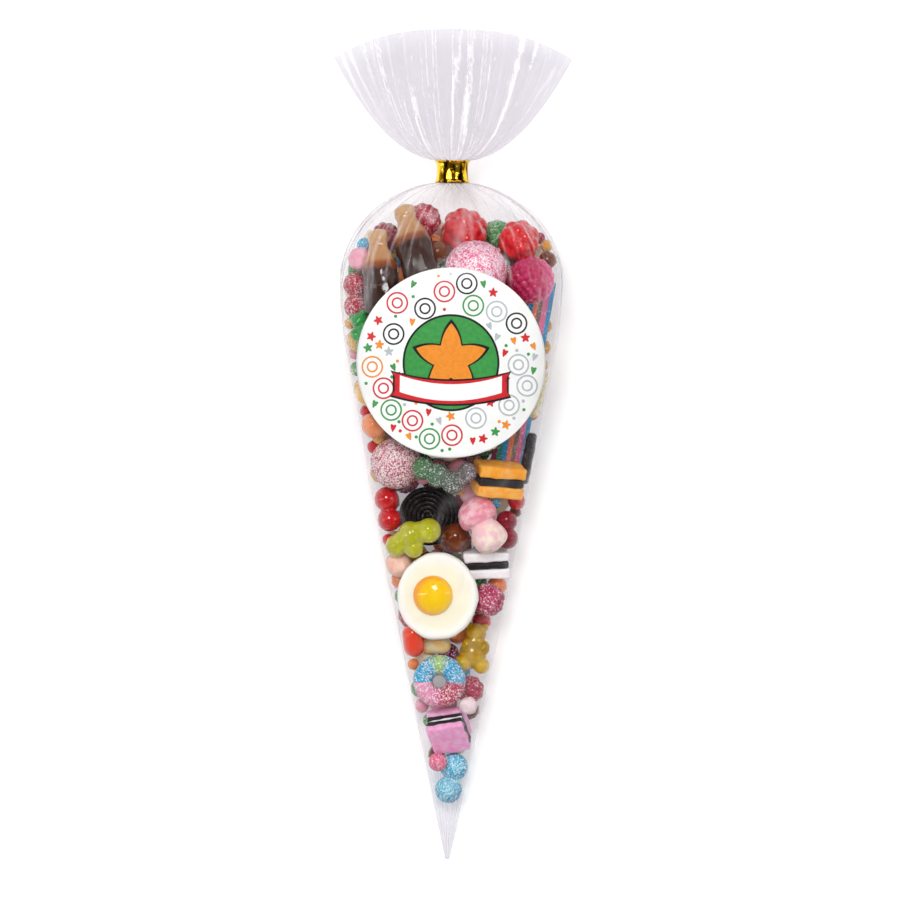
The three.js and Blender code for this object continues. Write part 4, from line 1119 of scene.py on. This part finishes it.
def covers(point, radius):
    """Whether a small sweet there would hide a front sweet or show through the ring."""
    if hypot(point.x - ring_middle.x, point.y - ring_middle.y) < radius + CLEAR_OF_HOLE:
        return True
    return any(in_front[index].z < point.z
               for _, index, _ in tree_from_above.find_range((point.x, point.y, 0), radius + CLEAR_OF_SWEETS))


small_coats = [
    ("cherry_sugar", sugared_jelly("sugared_small_cherry", "#a81434", "#be3450", cover=0.36)),
    ("red_jelly", gloss_jelly("small_red_jelly", "#c80e1a", "#da2e38", rough=0.1)),
    ("pink_foam", set_foam("small_pink_foam", "#ee9fb4", "#f3b8c8")),
    ("amber_sugar", sugared_jelly("sugared_small_amber", "#dd9a14", "#e8b444", cover=0.34)),
    ("green_sugar", sugared_jelly("sugared_small_green", "#2f8f38", "#5aa85e", cover=0.34)),
    ("cream_foam", set_foam("small_cream_foam", "#f2e4c6", "#f6ecd8")),
    ("orange_jelly", gloss_jelly("small_orange_jelly", "#e8864a", "#efa272")),
    ("cola_jelly", gloss_jelly("small_cola_jelly", "#6d3417", "#8d4a22")),
    ("blue_sugar", sugared_jelly("sugared_small_blue", "#14a2d2", "#46bade", cover=0.4)),
]
dice = random.Random(31)
hollows = []
for _ in range(TRIES):
    along = dice.uniform(LOWEST_ALONG, HIGHEST_ALONG)
    s = section_at(along)
    x = dice.uniform(-s.half, s.half)
    z = dice.uniform(1, s.centre + 0.3 * s.top)
    reach, power = (s.top, s.front) if z > s.centre else (s.bottom, s.back)
    if abs(x / s.half) ** power + abs((z - s.centre) / reach) ** power > WITHIN_FILM:
        continue
    point = Vector((x, along - BAG_LENGTH / 2, z))
    clear = tree_of_points.find(point)[2]
    if clear > LEAST_CLEAR:
        hollows.append((clear, point))
hollows.sort(key=lambda hollow: -hollow[0])
fillers = []
# The largest hollows are filled first, each with the largest ball that clears all the others
for least in (6.0, 5.0, 4.1, 3.3, 2.6):
    for clear, point in hollows:
        if clear < least:
            break
        room = min([clear] + [(point - other).length - radius for other, radius in fillers])
        size = min(room - ROOM_LEFT, LARGEST_SMALL)
        if room >= least and len(fillers) < SMALL_SWEETS and not covers(point, size):
            fillers.append((point, size))
for slot_index, (slot_name, coat) in enumerate(small_coats):
    forms = []
    for number in range(slot_index, len(fillers), len(small_coats)):
        point, radius = fillers[number]
        form = ball(radius, fineness=2)
        form = grained(form, 0.12, number) if "sugar" in slot_name else roughened(form, 0.4, 3, number)
        forms.append(moved(scaled(form, SMALL_SHRINK, SMALL_SHRINK, SMALL_SHRINK), point))
    finished(joined(forms), "small_sweets_" + slot_name, [coat])


# Floor, light and camera

scene = bpy.context.scene
scene.view_settings.view_transform = "Standard"


def paper_sweep():
    """A pale seamless paper: white to the camera and in reflections, and still holding the bag's shadow."""
    made, tree = blank("seamless_white_paper")
    patch = patches(tree, 40.0)[1]
    rays = node(tree, "LightPath")
    seen = node(tree, "Math", {0: rays.outputs["Is Camera Ray"], 1: rays.outputs["Is Glossy Ray"]},
                operation="MAXIMUM")
    glow = node(tree, "Math", {0: seen, 1: 0.28}, operation="MULTIPLY")
    paper = node(tree, "BsdfDiffuse", {"Color": two_tone(tree, patch, linear("#efeff0"), "#ededee")})
    light = node(tree, "Emission", {"Color": (1.0, 1.0, 1.0, 1.0), "Strength": glow})
    both = node(tree, "AddShader", {0: paper, 1: light})
    return surfaced(made, tree, both)


sweep = bmesh.new()
bmesh.ops.create_grid(sweep, x_segments=1, y_segments=1, size=3)
floor = linked("floor", mesh_of(sweep, "floor"))
floor.data.materials.append(paper_sweep())

world = bpy.data.worlds.new("white_room")
scene.world = world
world.use_nodes = True
sky = world.node_tree
sky.nodes.clear()
ray = node(sky, "LightPath")
# Reflections see a white room all round and a dark ceiling, where the camera stands
height = node(sky, "SeparateXYZ", {0: node(sky, "TexCoord").outputs["Generated"]})
ceiling = node(sky, "MapRange", {"Value": height.outputs[2], "From Min": 0.35, "From Max": 0.85,
                                 "To Min": 0.9, "To Max": 0.1})
bright = node(sky, "MapRange", {"Value": ray.outputs["Is Glossy Ray"], "To Min": 0.4, "To Max": ceiling})
air = node(sky, "Background", {"Color": (1.0, 1.0, 1.0, 1.0), "Strength": bright})
node(sky, "OutputWorld", {"Surface": air})


def lamp(name, at, size, power):
    """A rectangular lamp that looks at the bag's middle."""
    light = bpy.data.lights.new(name, "AREA")
    light.shape = "RECTANGLE"
    light.size, light.size_y = size
    light.energy = power
    made = linked(name, light)
    made.location = at
    made.rotation_euler = (Vector(at) - Vector((0, 0, 0.02))).to_track_quat("Z", "Y").to_euler()
    return made


overhead = lamp("overhead_softbox", (-0.1, 0.25, 1.2), (1.4, 1.0), 7.2)
overhead.visible_glossy = False
lamp("key_lamp", (-0.14, 0.42, 1.25), (0.34, 0.34), 5)
lamp("left_strip", (-0.8, -0.05, 0.75), (0.09, 0.8), 1.2)
lamp("right_strip", (0.85, 0.1, 0.8), (0.09, 0.8), 1.1)

eye = bpy.data.cameras.new("camera")
eye.lens = 250
eye.sensor_width = 36
eye.clip_end = 10
camera = linked("camera", eye)
camera.location = (-0.00015, -0.0022, 2.684)
camera.rotation_euler = (0, 0, radians(0.42))
scene.camera = camera
